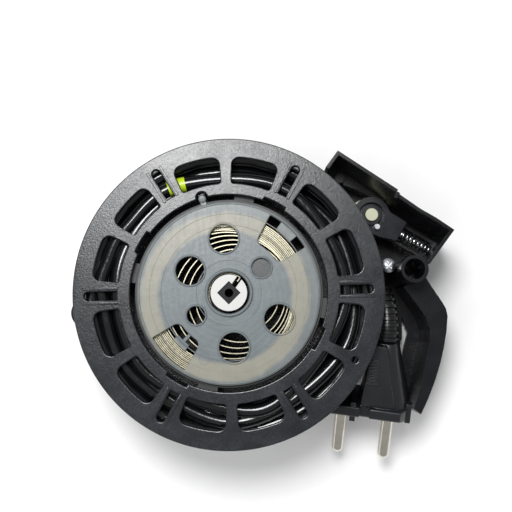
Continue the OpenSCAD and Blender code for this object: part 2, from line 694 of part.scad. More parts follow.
module marker_tape() color([0.75, 0.9, 0.15]) {
  segment(layer2_r - cord_d, layer2_r - 0.4, 116, 6.5, 0.4, 0.4, wind_z1 - pack_gap + 0.02, wind_z1 - 0.15);
}

// ---------- brake ----------
module brake_lever() color([0.15, 0.15, 0.16]) {
  place_brake() {
    difference() {
      union() {
        translate([0, 0, lever_z0]) cylinder(h = lever_t, r = 7.6);
        slab([[-1, -7.5], [7.7, -6.2], [lever_end_u, -4.2], [lever_end_u, 4.7], [6.4, 4.9], [0, 7.5]],
          lever_z0, lever_z0 + lever_t);
        translate([10.8, -2.6, plate_top + 0.4]) cube([3.2, 5.2, lever_z0 - plate_top]);
        translate([lever_end_u - tiny, spring_v, spring_z]) rotate([0, 90, 0]) cylinder(h = 3, r = 1.6, $fn = 32);
      }
      translate([0, 0, lever_z0 - 1]) cylinder(h = lever_t + 2, r = journal_d / 2 + running);
      translate([0, 0, lever_z0 + lever_t - 2]) tube(5.2, 4.2, 0, 3, 48);
      translate([4.4, -3.4, lever_z0 - 1]) cylinder(h = lever_t + 2, r = 1.1, $fn = 32);
    }
  }
}

module lever_pin() color([0.75, 0.76, 0.78]) {
  place_brake() translate([4.4, -3.4, lever_z0 - 2]) cylinder(h = lever_t + 4, r = 1.1, $fn = 32);
}

module brake_roller() color([0.9, 0.88, 0.76]) {
  place_brake() {
    difference() {
      translate([0, 0, rear_z - rim_skirt_h]) cylinder(h = 6, r = roller_r, $fn = 96);
      translate([0, 0, rear_z - rim_skirt_h + 4.8]) tube(roller_r - 1.6, journal_d / 2 + 1.6, 0, 3);
    }
    translate([0, 0, rear_z - rim_skirt_h + tiny]) cylinder(h = lever_z0 + lever_t + 1 - rear_z + rim_skirt_h, d = journal_d);
  }
}

module brake_spring() color([0.78, 0.79, 0.8]) {
  place_brake() translate([lever_end_u + 0.1, spring_v, spring_z]) rotate([0, 90, 0])
    tube(brake_spring_d / 2, brake_spring_d / 2 - brake_wire_d, 0, spring_end_u - lever_end_u - 0.2, 48);
}

// ---------- cord and plug ----------
module cord_lead() color([0.07, 0.07, 0.08]) {
  route = concat(lead_route, lead_turn);
  tube_along(route, [for (p = route) cord_d / 2], 10);
}

// Point at a share t of the way along the relief
function relief_point(t) =
  let (n = len(relief_route) - 1, i = min(floor(t * n), n - 1))
  relief_route[i] + (t * n - i) * (relief_route[i + 1] - relief_route[i]);

// Tapered sleeve with eight ribs
module strain_relief() color([0.13, 0.13, 0.14]) {
  steps = 32;
  rib = [0, 0, 0.8, 0.8];
  tube_along([for (i = [0 : steps]) relief_point(i / steps)],
    [for (i = [0 : steps]) 4.3 - 1.2 * i / steps + rib[i % 4]], 12);
}

// Cross-section of the grip, narrower at the top
module grip_section(g) {
  polygon([[g[0] - g[1], g[3]], [g[0] - g[2], -g[3] * 0.5], [g[0] - g[2] * 0.8, -g[3]], [g[0] + g[2] * 0.8, -g[3]],
    [g[0] + g[2], -g[3] * 0.5], [g[0] + g[1], g[3]]]);
}

module plug_body() color([0.12, 0.12, 0.13]) {
  place_plug() difference() {
    union() {
      intersection() {
        translate([0, 0, -collar_len]) cylinder(h = collar_len, d = plug_w, $fn = 96);
        translate([-plug_w, -plug_h / 2, -plug_len]) cube([2 * plug_w, plug_h, plug_len + 1]);
      }
      hull() {
        translate([0, 0, -collar_len - 1]) linear_extrude(1.5) grip_section(grip_front);
        translate([0, 0, -plug_len]) linear_extrude(0.5) grip_section(grip_rear);
      }
      for (k = [0 : 8]) {
        t = (9 - k) / 24 + 0.12;
        x = grip_front[0] + (grip_rear[0] - grip_front[0]) * t;
        y = grip_front[3] + (grip_rear[3] - grip_front[3]) * t;
        w = grip_front[1] + (grip_rear[1] - grip_front[1]) * t;
        translate([x - w + 0.2, y - 0.6, -collar_len - t * (plug_len - collar_len)]) cube([w * 0.75, 1.1, 0.6]);
      }
    }
    translate([-1.9, plug_h / 2 - 3, -collar_len - 1]) cube([3.8, 6, collar_len + 2]);
    for (s = [-1, 1]) {
      translate([s * (plug_w / 2 - 1.2) - 0.6, -1.5, -6]) cube([1.2, 3, 7]);
      translate([s * pin_pitch / 2, 0, -8]) cylinder(h = 9, d = pin_d - 0.8);
    }
  }
}

module plug_pins() color([0.83, 0.81, 0.76]) {
  place_plug() for (s = [-1, 1]) {
    translate([s * pin_pitch / 2, 0, pin_neck]) cylinder(h = pin_len - pin_d / 2 - pin_neck, d = pin_d);
    translate([s * pin_pitch / 2, 0, -8]) cylinder(h = 8 + pin_neck + tiny, d = pin_d - 0.8, $fn = 32);
    translate([s * pin_pitch / 2, 0, pin_len - pin_d / 2]) sphere(d = pin_d);
  }
}

carrier();
axle();
arbor();
brake_tray();
brake_bay();
lever_rails();
screw_tower();
guide_arm();
cord_guide_wall();
tower_screw();
contact_block();
line_contact();
neutral_contact();
block_screws();
thrust_washer();
front_flange();
drum();
rear_flange();
slip_ring_carrier();
outer_slip_ring();
inner_slip_ring();
reel_screws();
cord_clamp();
clamp_screws();
cord_tail();
core_leads();
spring_cup();
spring_cover();
mainspring();
spring_clip();
cord_pack();
marker_tape();
brake_lever();
lever_pin();
brake_roller();
brake_spring();
cord_lead();
strain_relief();
plug_body();
plug_pins();
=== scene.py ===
"""Looks of a vacuum cleaner's cord rewind reel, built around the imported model. Lengths are in metres."""

import json
import math
import random

import bmesh
import bpy
from mathutils import Matrix, Vector


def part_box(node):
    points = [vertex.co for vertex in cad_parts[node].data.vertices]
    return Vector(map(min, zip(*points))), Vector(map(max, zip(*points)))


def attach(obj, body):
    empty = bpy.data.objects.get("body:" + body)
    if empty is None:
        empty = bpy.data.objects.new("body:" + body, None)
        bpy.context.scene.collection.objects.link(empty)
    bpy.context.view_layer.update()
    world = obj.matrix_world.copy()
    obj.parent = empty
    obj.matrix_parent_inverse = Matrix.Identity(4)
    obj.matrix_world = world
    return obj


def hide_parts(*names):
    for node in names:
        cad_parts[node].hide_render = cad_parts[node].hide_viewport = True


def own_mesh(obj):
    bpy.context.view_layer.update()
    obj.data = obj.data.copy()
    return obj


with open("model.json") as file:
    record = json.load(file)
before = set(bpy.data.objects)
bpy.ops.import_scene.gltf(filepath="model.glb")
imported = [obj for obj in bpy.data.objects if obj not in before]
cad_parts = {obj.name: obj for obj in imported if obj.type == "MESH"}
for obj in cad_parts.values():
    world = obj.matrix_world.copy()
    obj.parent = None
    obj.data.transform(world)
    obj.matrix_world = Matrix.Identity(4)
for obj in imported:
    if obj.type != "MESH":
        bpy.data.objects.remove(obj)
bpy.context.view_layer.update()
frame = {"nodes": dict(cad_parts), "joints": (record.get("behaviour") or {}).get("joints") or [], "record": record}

MM = 0.001


# ---------- places taken from the frame ----------
def low(node):
    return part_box(node)[0]


def high(node):
    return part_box(node)[1]


FLANGE_R = high("front_flange").x
SLOT_RIB_UP = 0.45 * MM
FLANGE_TOP = high("front_flange").z - SLOT_RIB_UP + 0.01 * MM
FLANGE_T = 3 * MM
WIND_Z1 = FLANGE_TOP - FLANGE_T
WIND_Z0 = low("cord_pack").z - 0.1 * MM
DRUM_R = high("drum").y
CORD_D = high("cord_tail").z - low("cord_tail").z
COVER_R = 35.5 * MM
COVER_Z = low("spring_cover").z
COVER_T = 1.8 * MM
STRIP_Z0 = low("mainspring").z
STRIP_Z1 = high("mainspring").z
ARBOR_R = high("arbor").x
STRIP_T = 0.36 * MM
# Packed coils lie against one side of the cup
SPRING_LEAN = 225
PACK_OFFSET = 2.1 * MM
PACK_PITCH = 0.64 * MM
PACKED_COILS = 9.5
PACK_IN_R = 26.1 * MM
PACK_OUT_R = PACK_IN_R + PACKED_COILS * PACK_PITCH


# ---------- camera, light and floor ----------
CAMERA_PLACE = (10.46 * MM, -16.1 * MM, 394.95 * MM)
CAMERA_TILT = math.radians(5)
CAMERA_LENS = 63.28
SENSOR_W = 36
NEAREST_SEEN = 0.01
FLOOR_HALF = 3.0
WORLD_COLOUR = (0.98, 0.99, 1, 1)
WORLD_STRENGTH = 0.40


def make_camera():
    data = bpy.data.cameras.new("camera")
    data.lens = CAMERA_LENS
    data.sensor_width = SENSOR_W
    data.clip_start = NEAREST_SEEN
    camera = bpy.data.objects.new("camera", data)
    camera.location = CAMERA_PLACE
    camera.rotation_euler = (CAMERA_TILT, 0, 0)
    bpy.context.scene.collection.objects.link(camera)
    bpy.context.scene.camera = camera


def make_light(name, place, target, size, power, mirrored=True):
    data = bpy.data.lights.new(name, "AREA")
    data.shape = "DISK"
    data.size = size
    data.energy = power
    light = bpy.data.objects.new(name, data)
    light.location = place
    light.visible_glossy = mirrored
    light.rotation_euler = (Vector(target) - Vector(place)).to_track_quat("-Z", "Y").to_euler()
    bpy.context.scene.collection.objects.link(light)


def make_studio():
    make_light("key", (-0.07, 0.20, 0.62), (0, 0.02, 0), 0.24, 3.7)
    make_light("fill", (-0.35, -0.25, 0.6), (0, 0, 0), 0.6, 2.0, mirrored=False)
    world = bpy.data.worlds.new("studio")
    world.use_nodes = True
    world.node_tree.nodes["Background"].inputs["Color"].default_value = WORLD_COLOUR
    world.node_tree.nodes["Background"].inputs["Strength"].default_value = WORLD_STRENGTH
    bpy.context.scene.world = world
    bpy.context.scene.view_settings.view_transform = "Standard"


def make_floor():
    corners = [(x * FLOOR_HALF, y * FLOOR_HALF, 0) for x, y in ((-1, -1), (1, -1), (1, 1), (-1, 1))]
    mesh = bpy.data.meshes.new("floor")
    mesh.from_pydata(corners, [], [(0, 1, 2, 3)])
    floor = bpy.data.objects.new("floor", mesh)
    bpy.context.scene.collection.objects.link(floor)
    mesh.materials.append(moulded("floor_paper", (0.86, 0.86, 0.855), 0.85, grain=1.5, depth=0.004,
                                  mottle=0.01))


# ---------- shader building ----------
def start_material(name, colour, roughness, **settings):
    """A material with its Principled shader's constant sockets set."""
    material = bpy.data.materials.new(name)
    material.use_nodes = True
    shader = material.node_tree.nodes["Principled BSDF"]
    shader.inputs["Base Color"].default_value = (*colour, 1)
    shader.inputs["Roughness"].default_value = roughness
    for socket, value in settings.items():
        shader.inputs[socket.replace("_", " ")].default_value = value
    return material, material.node_tree, shader


def place_pattern(tree, stretch=(1, 1, 1), centre=(0, 0, 0)):
    """Object coordinates, moved to a centre and stretched."""
    where = tree.nodes.new("ShaderNodeTexCoord")
    shift = tree.nodes.new("ShaderNodeMapping")
    shift.inputs["Location"].default_value = [-c * s for c, s in zip(centre, stretch)]
    shift.inputs["Scale"].default_value = stretch
    tree.links.new(where.outputs["Object"], shift.inputs["Vector"])
    return shift.outputs["Vector"]


def noise(tree, vector, size, detail=3.0, rough=0.55):
    """Noise whose lumps are about size across, from 0 to 1."""
    node = tree.nodes.new("ShaderNodeTexNoise")
    node.inputs["Scale"].default_value = 1 / size
    node.inputs["Detail"].default_value = detail
    node.inputs["Roughness"].default_value = rough
    tree.links.new(vector, node.inputs["Vector"])
    return node.outputs["Fac"]


def remap(tree, value, from_low, from_high, to_low, to_high):
    node = tree.nodes.new("ShaderNodeMapRange")
    for socket, number in (("From Min", from_low), ("From Max", from_high), ("To Min", to_low),
                           ("To Max", to_high)):
        node.inputs[socket].default_value = number
    tree.links.new(value, node.inputs["Value"])
    return node.outputs["Result"]


def mix_colour(tree, factor, first, second):
    """Mix of two colours, each a tuple or an output."""
    node = tree.nodes.new("ShaderNodeMix")
    node.data_type = "RGBA"
    tree.links.new(factor, node.inputs["Factor"])
    for value, socket in ((first, node.inputs[6]), (second, node.inputs[7])):
        if isinstance(value, tuple):
            socket.default_value = (*value, 1)
        else:
            tree.links.new(value, socket)
    return node.outputs[2]


def arithmetic(tree, operation, first, second):
    node = tree.nodes.new("ShaderNodeMath")
    node.operation = operation
    for value, socket in ((first, node.inputs[0]), (second, node.inputs[1])):
        if isinstance(value, (int, float)):
            socket.default_value = value
        else:
            tree.links.new(value, socket)
    return node.outputs[0]


def bump(tree, height, depth, strength=1.0, normal=None):
    node = tree.nodes.new("ShaderNodeBump")
    node.inputs["Strength"].default_value = strength
    node.inputs["Distance"].default_value = depth
    tree.links.new(height, node.inputs["Height"])
    if normal is not None:
        tree.links.new(normal, node.inputs["Normal"])
    return node.outputs["Normal"]


def soft_edges(tree, radius):
    node = tree.nodes.new("ShaderNodeBevel")
    node.samples = 4
    node.inputs["Radius"].default_value = radius
    return node.outputs["Normal"]


def shade(colour, factor):
    return tuple(min(1, c * factor) for c in colour)


def moulded(name, colour, roughness, grain=0.3, depth=0.02, mottle=0.2, edge=0.0, **settings):
    """Moulded plastic: mottled colour, a fine spark-eroded grain, rubbed patches and soft edges.

    Grain, depth and edge are in mm."""
    material, tree, shader = start_material(name, colour, roughness, **settings)
    place = place_pattern(tree)
    cloud = noise(tree, place, 9 * MM, 4)
    fine = noise(tree, place, grain * MM, 2, 0.7)
    scuff = noise(tree, place_pattern(tree, (1, 0.16, 1)), 1.6 * MM, 5, 0.7)
    tinted = mix_colour(tree, remap(tree, cloud, 0.3, 0.7, 0, 1), shade(colour, 1 - mottle),
                        shade(colour, 1 + mottle))
    rubbed = remap(tree, scuff, 0.60, 0.74, 0, 0.35)
    tinted = mix_colour(tree, rubbed, tinted, shade(colour, 1 + 2.5 * mottle))
    tree.links.new(tinted, shader.inputs["Base Color"])
    spread = arithmetic(tree, "ADD", remap(tree, cloud, 0.3, 0.7, roughness - 0.05, roughness + 0.04),
                        remap(tree, fine, 0.3, 0.7, -0.05, 0.05))
    tree.links.new(spread, shader.inputs["Roughness"])
    rounded = soft_edges(tree, edge * MM) if edge else None
    tree.links.new(bump(tree, fine, depth * MM, 1, rounded), shader.inputs["Normal"])
    return material


def metal(name, colour, roughness, brush=(1, 1, 1), grain=0.25, depth=0.003, tarnish=0.2, edge=0.0):
    """Bare or plated metal: brushed or drawn grain, dull patches and small scratches."""
    material, tree, shader = start_material(name, colour, roughness, Metallic=1.0)
    place = place_pattern(tree, brush)
    fine = noise(tree, place, grain * MM, 3, 0.7)
    cloud = noise(tree, place_pattern(tree), 3 * MM, 4)
    dull = remap(tree, cloud, 0.35, 0.7, 0, 1)
    tree.links.new(mix_colour(tree, dull, colour, shade(colour, 1 - tarnish)), shader.inputs["Base Color"])
    spread = arithmetic(tree, "ADD", remap(tree, cloud, 0.3, 0.7, roughness - 0.04, roughness + 0.08),
                        remap(tree, fine, 0.3, 0.7, -0.04, 0.04))
    tree.links.new(spread, shader.inputs["Roughness"])
    rounded = soft_edges(tree, edge * MM) if edge else None
    tree.links.new(bump(tree, fine, depth * MM, 1, rounded), shader.inputs["Normal"])
    return material


def clear_cover(name, grey, cream, roughness):
    """Cloudy translucent plastic: grey over the dark cup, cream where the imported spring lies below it."""
    material, tree, shader = start_material(name, grey, roughness, Specular_IOR_Level=0.4)
    turn = math.radians(SPRING_LEAN)
    lean = [PACK_OFFSET * math.cos(turn), PACK_OFFSET * math.sin(turn), 0]
    place = place_pattern(tree)
    wobble = noise(tree, place, 5 * MM, 3)
    flat = tree.nodes.new("ShaderNodeVectorMath")
    flat.operation = "MULTIPLY"
    flat.inputs[1].default_value = (1, 1, 0)
    tree.links.new(place_pattern(tree, centre=lean), flat.inputs[0])
    length = tree.nodes.new("ShaderNodeVectorMath")
    length.operation = "LENGTH"
    tree.links.new(flat.outputs["Vector"], length.inputs[0])
    away = arithmetic(tree, "ADD", length.outputs["Value"],
                      remap(tree, wobble, 0.3, 0.7, -0.5 * MM, 0.5 * MM))
    inner = remap(tree, away, PACK_IN_R - 1.2 * MM, PACK_IN_R + 0.5 * MM, 0, 1)
    outer = remap(tree, away, PACK_OUT_R - 0.3 * MM, PACK_OUT_R + 1.0 * MM, 1, 0.12)
    band = arithmetic(tree, "MULTIPLY", inner, outer)
    rings = arithmetic(tree, "SINE", arithmetic(tree, "MULTIPLY", away, 2 * math.pi / (2.3 * MM)), 0)
    faint = arithmetic(tree, "MULTIPLY", remap(tree, rings, 0.4, 1, 0, 0.16),
                       arithmetic(tree, "SUBTRACT", 1, band))
    cloud = remap(tree, noise(tree, place, 7 * MM, 4), 0.3, 0.7, 0, 1)
    base = mix_colour(tree, cloud, shade(grey, 0.9), shade(grey, 1.1))
    warm = mix_colour(tree, cloud, shade(cream, 0.93), shade(cream, 1.07))
    lit = mix_colour(tree, faint, base, shade(grey, 1.7))
    tree.links.new(mix_colour(tree, band, lit, warm), shader.inputs["Base Color"])
    scratch = noise(tree, place_pattern(tree, (1, 0.1, 1)), 1.1 * MM, 4, 0.7)
    tree.links.new(remap(tree, scratch, 0.45, 0.75, roughness, roughness + 0.14), shader.inputs["Roughness"])
    tree.links.new(bump(tree, noise(tree, place, 2.4 * MM, 4, 0.6), 0.05 * MM), shader.inputs["Normal"])
    return material


def strip_with_painted_highlight(name, edge_and_highlight_colour, face_colour, roughness):
    """Spring steel strip: oiled dark faces, and faces pointing up painted pale, partly the bare steel of the cut
    edges and partly a painted highlight for the light those edges catch.
    """
    material, tree, shader = start_material(name, edge_and_highlight_colour, roughness, Metallic=0.35)
    facing = tree.nodes.new("ShaderNodeNewGeometry")
    split = tree.nodes.new("ShaderNodeSeparateXYZ")
    tree.links.new(facing.outputs["True Normal"], split.inputs["Vector"])
    # Painted highlight: faces that point up take the pale colour, standing in for the light caught by the strip's
    # top edges, on top of their bare steel
    up_facing_highlight_mask = remap(tree, split.outputs["Z"], 0.55, 0.8, 0, 1)
    place = place_pattern(tree)
    streak = remap(tree, noise(tree, place, 1.4 * MM, 4, 0.7), 0.3, 0.7, 0, 1)
    bright = mix_colour(tree, streak, shade(edge_and_highlight_colour, 0.72), shade(edge_and_highlight_colour, 1.2))
    oiled = mix_colour(tree, streak, shade(face_colour, 0.6), shade(face_colour, 1.5))
    tree.links.new(mix_colour(tree, up_facing_highlight_mask, oiled, bright), shader.inputs["Base Color"])
    tree.links.new(remap(tree, streak, 0, 1, roughness - 0.08, roughness + 0.1), shader.inputs["Roughness"])
    tree.links.new(bump(tree, streak, 0.004 * MM), shader.inputs["Normal"])
    return material


# ---------- mesh building ----------
def show(name, mesh, material, smooth_angle=35):
    """Puts a mesh in the scene with smooth faces, flat tops and sharp corners, and returns its object."""
    mesh.set_sharp_from_angle(angle=math.radians(smooth_angle))
    mesh.polygons.foreach_set("use_smooth", [abs(face.normal.z) < 0.9999 for face in mesh.polygons])
    mesh.materials.clear()
    for each in material if isinstance(material, list) else [material]:
        mesh.materials.append(each)
    piece = bpy.data.objects.new(name, mesh)
    bpy.context.scene.collection.objects.link(piece)
    return piece


def evaluated_mesh(source):
    """The mesh of an object with its modifiers and curve settings applied; the object itself is removed."""
    bpy.context.view_layer.update()
    graph = bpy.context.evaluated_depsgraph_get()
    mesh = bpy.data.meshes.new_from_object(source.evaluated_get(graph), depsgraph=graph)
    bpy.data.objects.remove(source)
    return mesh


def tidy_mesh(mesh, distance=1e-6):
    """Closes seams and turns faces outward."""
    work = bmesh.new()
    work.from_mesh(mesh)
    bmesh.ops.remove_doubles(work, verts=work.verts, dist=distance)
    bmesh.ops.recalc_face_normals(work, faces=work.faces)
    work.to_mesh(mesh)
    work.free()
    return mesh


def joined(name, meshes):
    """One mesh from several, which stay separate shells."""
    work = bmesh.new()
    for mesh in meshes:
        work.from_mesh(mesh)
    result = bpy.data.meshes.new(name)
    work.to_mesh(result)
    work.free()
    return result


def arc(radius, start, end, step=1.5, centre=(0, 0)):
    """Points on a circle between two angles in degrees, both ends included."""
    count = max(2, round(abs(end - start) / step))
    angles = [math.radians(start + (end - start) * k / count) for k in range(count + 1)]
    return [(centre[0] + radius * math.cos(a), centre[1] + radius * math.sin(a)) for a in angles]


def ring(radius, centre=(0, 0), step=2.0):
    return arc(radius, 0, 360, step, centre)[:-1]


def polar(radius, degrees):
    return (radius * math.cos(math.radians(degrees)), radius * math.sin(math.radians(degrees)))


def plate_mesh(loops, z0, z1, edge):
    """A flat plate between two heights with rounded edges, from its outline and the loops of its holes."""
    curve = bpy.data.curves.new("plate", "CURVE")
    curve.dimensions = "2D"
    curve.fill_mode = "BOTH"
    curve.extrude = (z1 - z0) / 2 - edge
    curve.bevel_depth = edge
    curve.bevel_resolution = 2
    curve.offset = -edge
    for loop in loops:
        spline = curve.splines.new("POLY")
        spline.points.add(len(loop) - 1)
        spline.points.foreach_set("co", [v for x, y in loop for v in (x, y, 0, 1)])
        spline.use_cyclic_u = True
    mesh = evaluated_mesh(bpy.data.objects.new("plate", curve))
    mesh.transform(Matrix.Translation((0, 0, (z0 + z1) / 2)))
    return tidy_mesh(mesh)


def lathe_mesh(profile, centre=(0, 0), steps=128):
    """Turns a closed profile of (radius, height) points round the Z axis."""
    count = len(profile)
    verts = [(centre[0] + r * math.cos(2 * math.pi * k / steps),
              centre[1] + r * math.sin(2 * math.pi * k / steps), z)
             for k in range(steps) for r, z in profile]
    faces = [(k * count + i, (k + 1) % steps * count + i, (k + 1) % steps * count + (i + 1) % count,
              k * count + (i + 1) % count) for k in range(steps) for i in range(count)]
    mesh = bpy.data.meshes.new("lathe")
    mesh.from_pydata(verts, [], faces)
    return tidy_mesh(mesh)


def rounded_box_profile(r0, r1, z0, z1, edge, steps=3):
    """Closed rectangle in (radius, height) with rounded corners."""
    corners = ((r1 - edge, z1 - edge, 0), (r0 + edge, z1 - edge, 90), (r0 + edge, z0 + edge, 180),
               (r1 - edge, z0 + edge, 270))
    return [(x + edge * math.cos(math.radians(a + 90 * k / steps)),
             z + edge * math.sin(math.radians(a + 90 * k / steps)))
            for x, z, a in corners for k in range(steps + 1)]


# ---------- node trees that sweep and repeat ----------
def new_tree(name, **inputs):
    """A geometry node tree with named inputs: a number, a count or a material."""
    tree = bpy.data.node_groups.new(name, "GeometryNodeTree")
    tree.interface.new_socket("Geometry", in_out="INPUT", socket_type="NodeSocketGeometry")
    tree.interface.new_socket("Geometry", in_out="OUTPUT", socket_type="NodeSocketGeometry")
    kinds = {float: "NodeSocketFloat", int: "NodeSocketInt", bpy.types.Material: "NodeSocketMaterial"}
    for label, value in inputs.items():
        kind = bpy.types.Material if value is None else type(value)
        socket = tree.interface.new_socket(label.replace("_", " "), in_out="INPUT", socket_type=kinds[kind])
        if value is not None:
            socket.default_value = value
    return tree, tree.nodes.new("NodeGroupInput"), tree.nodes.new("NodeGroupOutput")


def finish_tree(tree, entry, exit_node, geometry):
    """Smooth faces, real geometry and the material close every tree."""
    smooth = tree.nodes.new("GeometryNodeSetShadeSmooth")
    real = tree.nodes.new("GeometryNodeRealizeInstances")
    paint = tree.nodes.new("GeometryNodeSetMaterial")
    tree.links.new(geometry, smooth.inputs["Geometry"])
    tree.links.new(smooth.outputs["Geometry"], real.inputs["Geometry"])
    tree.links.new(real.outputs["Geometry"], paint.inputs["Geometry"])
    tree.links.new(entry.outputs["Finish"], paint.inputs["Material"])
    tree.links.new(paint.outputs["Geometry"], exit_node.inputs["Geometry"])
    return tree


def sweep_tree():
    """A round section swept along a line; the line's thickness attribute scales it."""
    tree, entry, leave = new_tree("round_sweep", Diameter=1.0, Sides=12, Finish=None)
    line = tree.nodes.new("GeometryNodeMeshToCurve")
    thickness = tree.nodes.new("GeometryNodeInputNamedAttribute")
    thickness.data_type = "FLOAT"
    thickness.inputs["Name"].default_value = "thickness"
    widen = tree.nodes.new("GeometryNodeSetCurveRadius")
    circle = tree.nodes.new("GeometryNodeCurvePrimitiveCircle")
    half = tree.nodes.new("ShaderNodeMath")
    half.operation = "MULTIPLY"
    half.inputs[1].default_value = 0.5
    skin = tree.nodes.new("GeometryNodeCurveToMesh")
    skin.inputs["Fill Caps"].default_value = True
    links = tree.links
    links.new(entry.outputs["Geometry"], line.inputs["Mesh"])
    links.new(line.outputs["Curve"], widen.inputs["Curve"])
    links.new(thickness.outputs["Attribute"], widen.inputs["Radius"])
    links.new(widen.outputs["Curve"], skin.inputs["Curve"])
    links.new(entry.outputs["Diameter"], half.inputs[0])
    links.new(half.outputs[0], circle.inputs["Radius"])
    links.new(entry.outputs["Sides"], circle.inputs["Resolution"])
    links.new(circle.outputs["Curve"], skin.inputs["Profile Curve"])
    if "Scale" in skin.inputs:
        links.new(thickness.outputs["Attribute"], skin.inputs["Scale"])
    return finish_tree(tree, entry, leave, skin.outputs["Mesh"])


def run_tree(source, tree, **values):
    """Runs a tree on an object and keeps the result as a plain mesh."""
    modifier = source.modifiers.new(tree.name, "NODES")
    modifier.node_group = tree
    for item in tree.interface.items_tree:
        label = item.name.replace(" ", "_")
        if item.in_out == "INPUT" and label in values:
            modifier[item.identifier] = values[label]
    return evaluated_mesh(source)


def line_object(points, thickness=None):
    """A line of points as an object, with a thickness at each."""
    mesh = bpy.data.meshes.new("line")
    mesh.from_pydata([tuple(p) for p in points], [(k, k + 1) for k in range(len(points) - 1)], [])
    attribute = mesh.attributes.new("thickness", "FLOAT", "POINT")
    attribute.data.foreach_set("value", thickness or [1.0] * len(points))
    line = bpy.data.objects.new("line", mesh)
    bpy.context.scene.collection.objects.link(line)
    return line


ROUND_SWEEP = sweep_tree()


def swept(points, diameter, sides, finish, thickness=None):
    mesh = run_tree(line_object(points, thickness), ROUND_SWEEP, Diameter=diameter, Sides=sides,
                    Finish=finish)
    return tidy_mesh(mesh)


def smooth_path(points, per_span=6):
    """Catmull-Rom points through the given ones."""
    path = [Vector(p) for p in points]
    ends = [2 * path[0] - path[1]] + path + [2 * path[-1] - path[-2]]
    out = []
    for i in range(1, len(ends) - 2):
        a, b, c, d = ends[i - 1:i + 3]
        for k in range(per_span):
            t = k / per_span
            out.append(0.5 * (2 * b + (c - a) * t + (2 * a - 5 * b + 4 * c - d) * t * t
                              + (3 * b - a - 3 * c + d) * t ** 3))
    return out + [path[-1]]


# ---------- finishes ----------
FLANGE_GREY = (0.012, 0.0138, 0.0165)
FINISHES = {
    "frame_plastic": moulded("frame_plastic", (0.0052, 0.0056, 0.0070), 0.27, grain=0.5, depth=0.012,
                             edge=0.25, Specular_IOR_Level=0.26),
    "axle_plastic": moulded("axle_plastic", (0.005, 0.0055, 0.0065), 0.5, grain=0.4, depth=0.01, edge=0.2,
                             Specular_IOR_Level=0.2),
    "flange_plastic": moulded("flange_plastic", FLANGE_GREY, 0.26, grain=0.7, depth=0.06, mottle=0.25,
                              Specular_IOR_Level=0.42),
    "white_nylon": moulded("white_nylon", (0.47, 0.47, 0.455), 0.38, grain=0.6, depth=0.006, mottle=0.04,
                           edge=0.25),
    "ring_carrier_plastic": moulded("ring_carrier_plastic", (0.66, 0.62, 0.52), 0.5, mottle=0.06, edge=0.2),
    "cup_plastic": moulded("cup_plastic", (0.012, 0.012, 0.013), 0.5, grain=0.5, depth=0.01, edge=0.2),
    "bright_steel": metal("bright_steel", (0.72, 0.73, 0.75), 0.2, edge=0.1),
    "screw_steel": metal("screw_steel", (0.66, 0.68, 0.72), 0.26, grain=0.15, depth=0.004, edge=0.12),
    "contact_brass": metal("contact_brass", (0.78, 0.58, 0.26), 0.3, grain=0.2, edge=0.1),
    "lever_plastic": moulded("lever_plastic", (0.0065, 0.0073, 0.0105), 0.26, grain=0.5, depth=0.01,
                             edge=0.3, Specular_IOR_Level=0.3),
    "roller_nylon": moulded("roller_nylon", (0.52, 0.53, 0.38), 0.35, grain=0.6, depth=0.006, mottle=0.05,
                            edge=0.3),
    "cord_sheath": moulded("cord_sheath", (0.004, 0.0043, 0.005), 0.15, grain=1.2, depth=0.012, mottle=0.2),
    "core_insulation": moulded("core_insulation", (0.2, 0.09, 0.03), 0.3, grain=0.5, depth=0.004),
    "marker_film": moulded("marker_film", (0.46, 0.62, 0.012), 0.35, grain=0.9, depth=0.02, mottle=0.1),
    "plug_plastic": moulded("plug_plastic", (0.0085, 0.009, 0.011), 0.34, grain=0.6, depth=0.03,
                            mottle=0.15, edge=0.3),
    "relief_rubber": moulded("relief_rubber", (0.004, 0.0043, 0.005), 0.3, grain=0.4, depth=0.012,
                             mottle=0.2),
    "pin_nickel": metal("pin_nickel", (0.72, 0.68, 0.6), 0.16, brush=(1, 0.05, 1), grain=0.12, depth=0.001,
                        tarnish=0.12),
}
FINISHES["cover_plastic"] = clear_cover("cover_plastic", (0.112, 0.130, 0.137), (0.215, 0.209, 0.172), 0.33)
FINISHES["thin_cover"] = moulded("thin_cover", (0.020, 0.024, 0.026), 0.3, grain=0.5, depth=0.01,
                                 mottle=0.08)
# The pale first colour is bare edge steel brightened into a painted highlight; the second is the dark oiled faces
FINISHES["spring_strip"] = strip_with_painted_highlight("spring_strip", (0.46, 0.43, 0.31), (0.03, 0.028, 0.024), 0.34)
CARRIED = {row["node"]: row["material_slot"] for row in frame["record"]["subparts"]}
for node_name, node_object in frame["nodes"].items():
    node_object.data.materials.clear()
    node_object.data.materials.append(FINISHES[CARRIED[node_name]])


def place(piece, body, *nodes):
    """Rides a piece on a body in place of its CAD nodes, which it hides."""
    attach(piece, body)
    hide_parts(*nodes)
    return piece


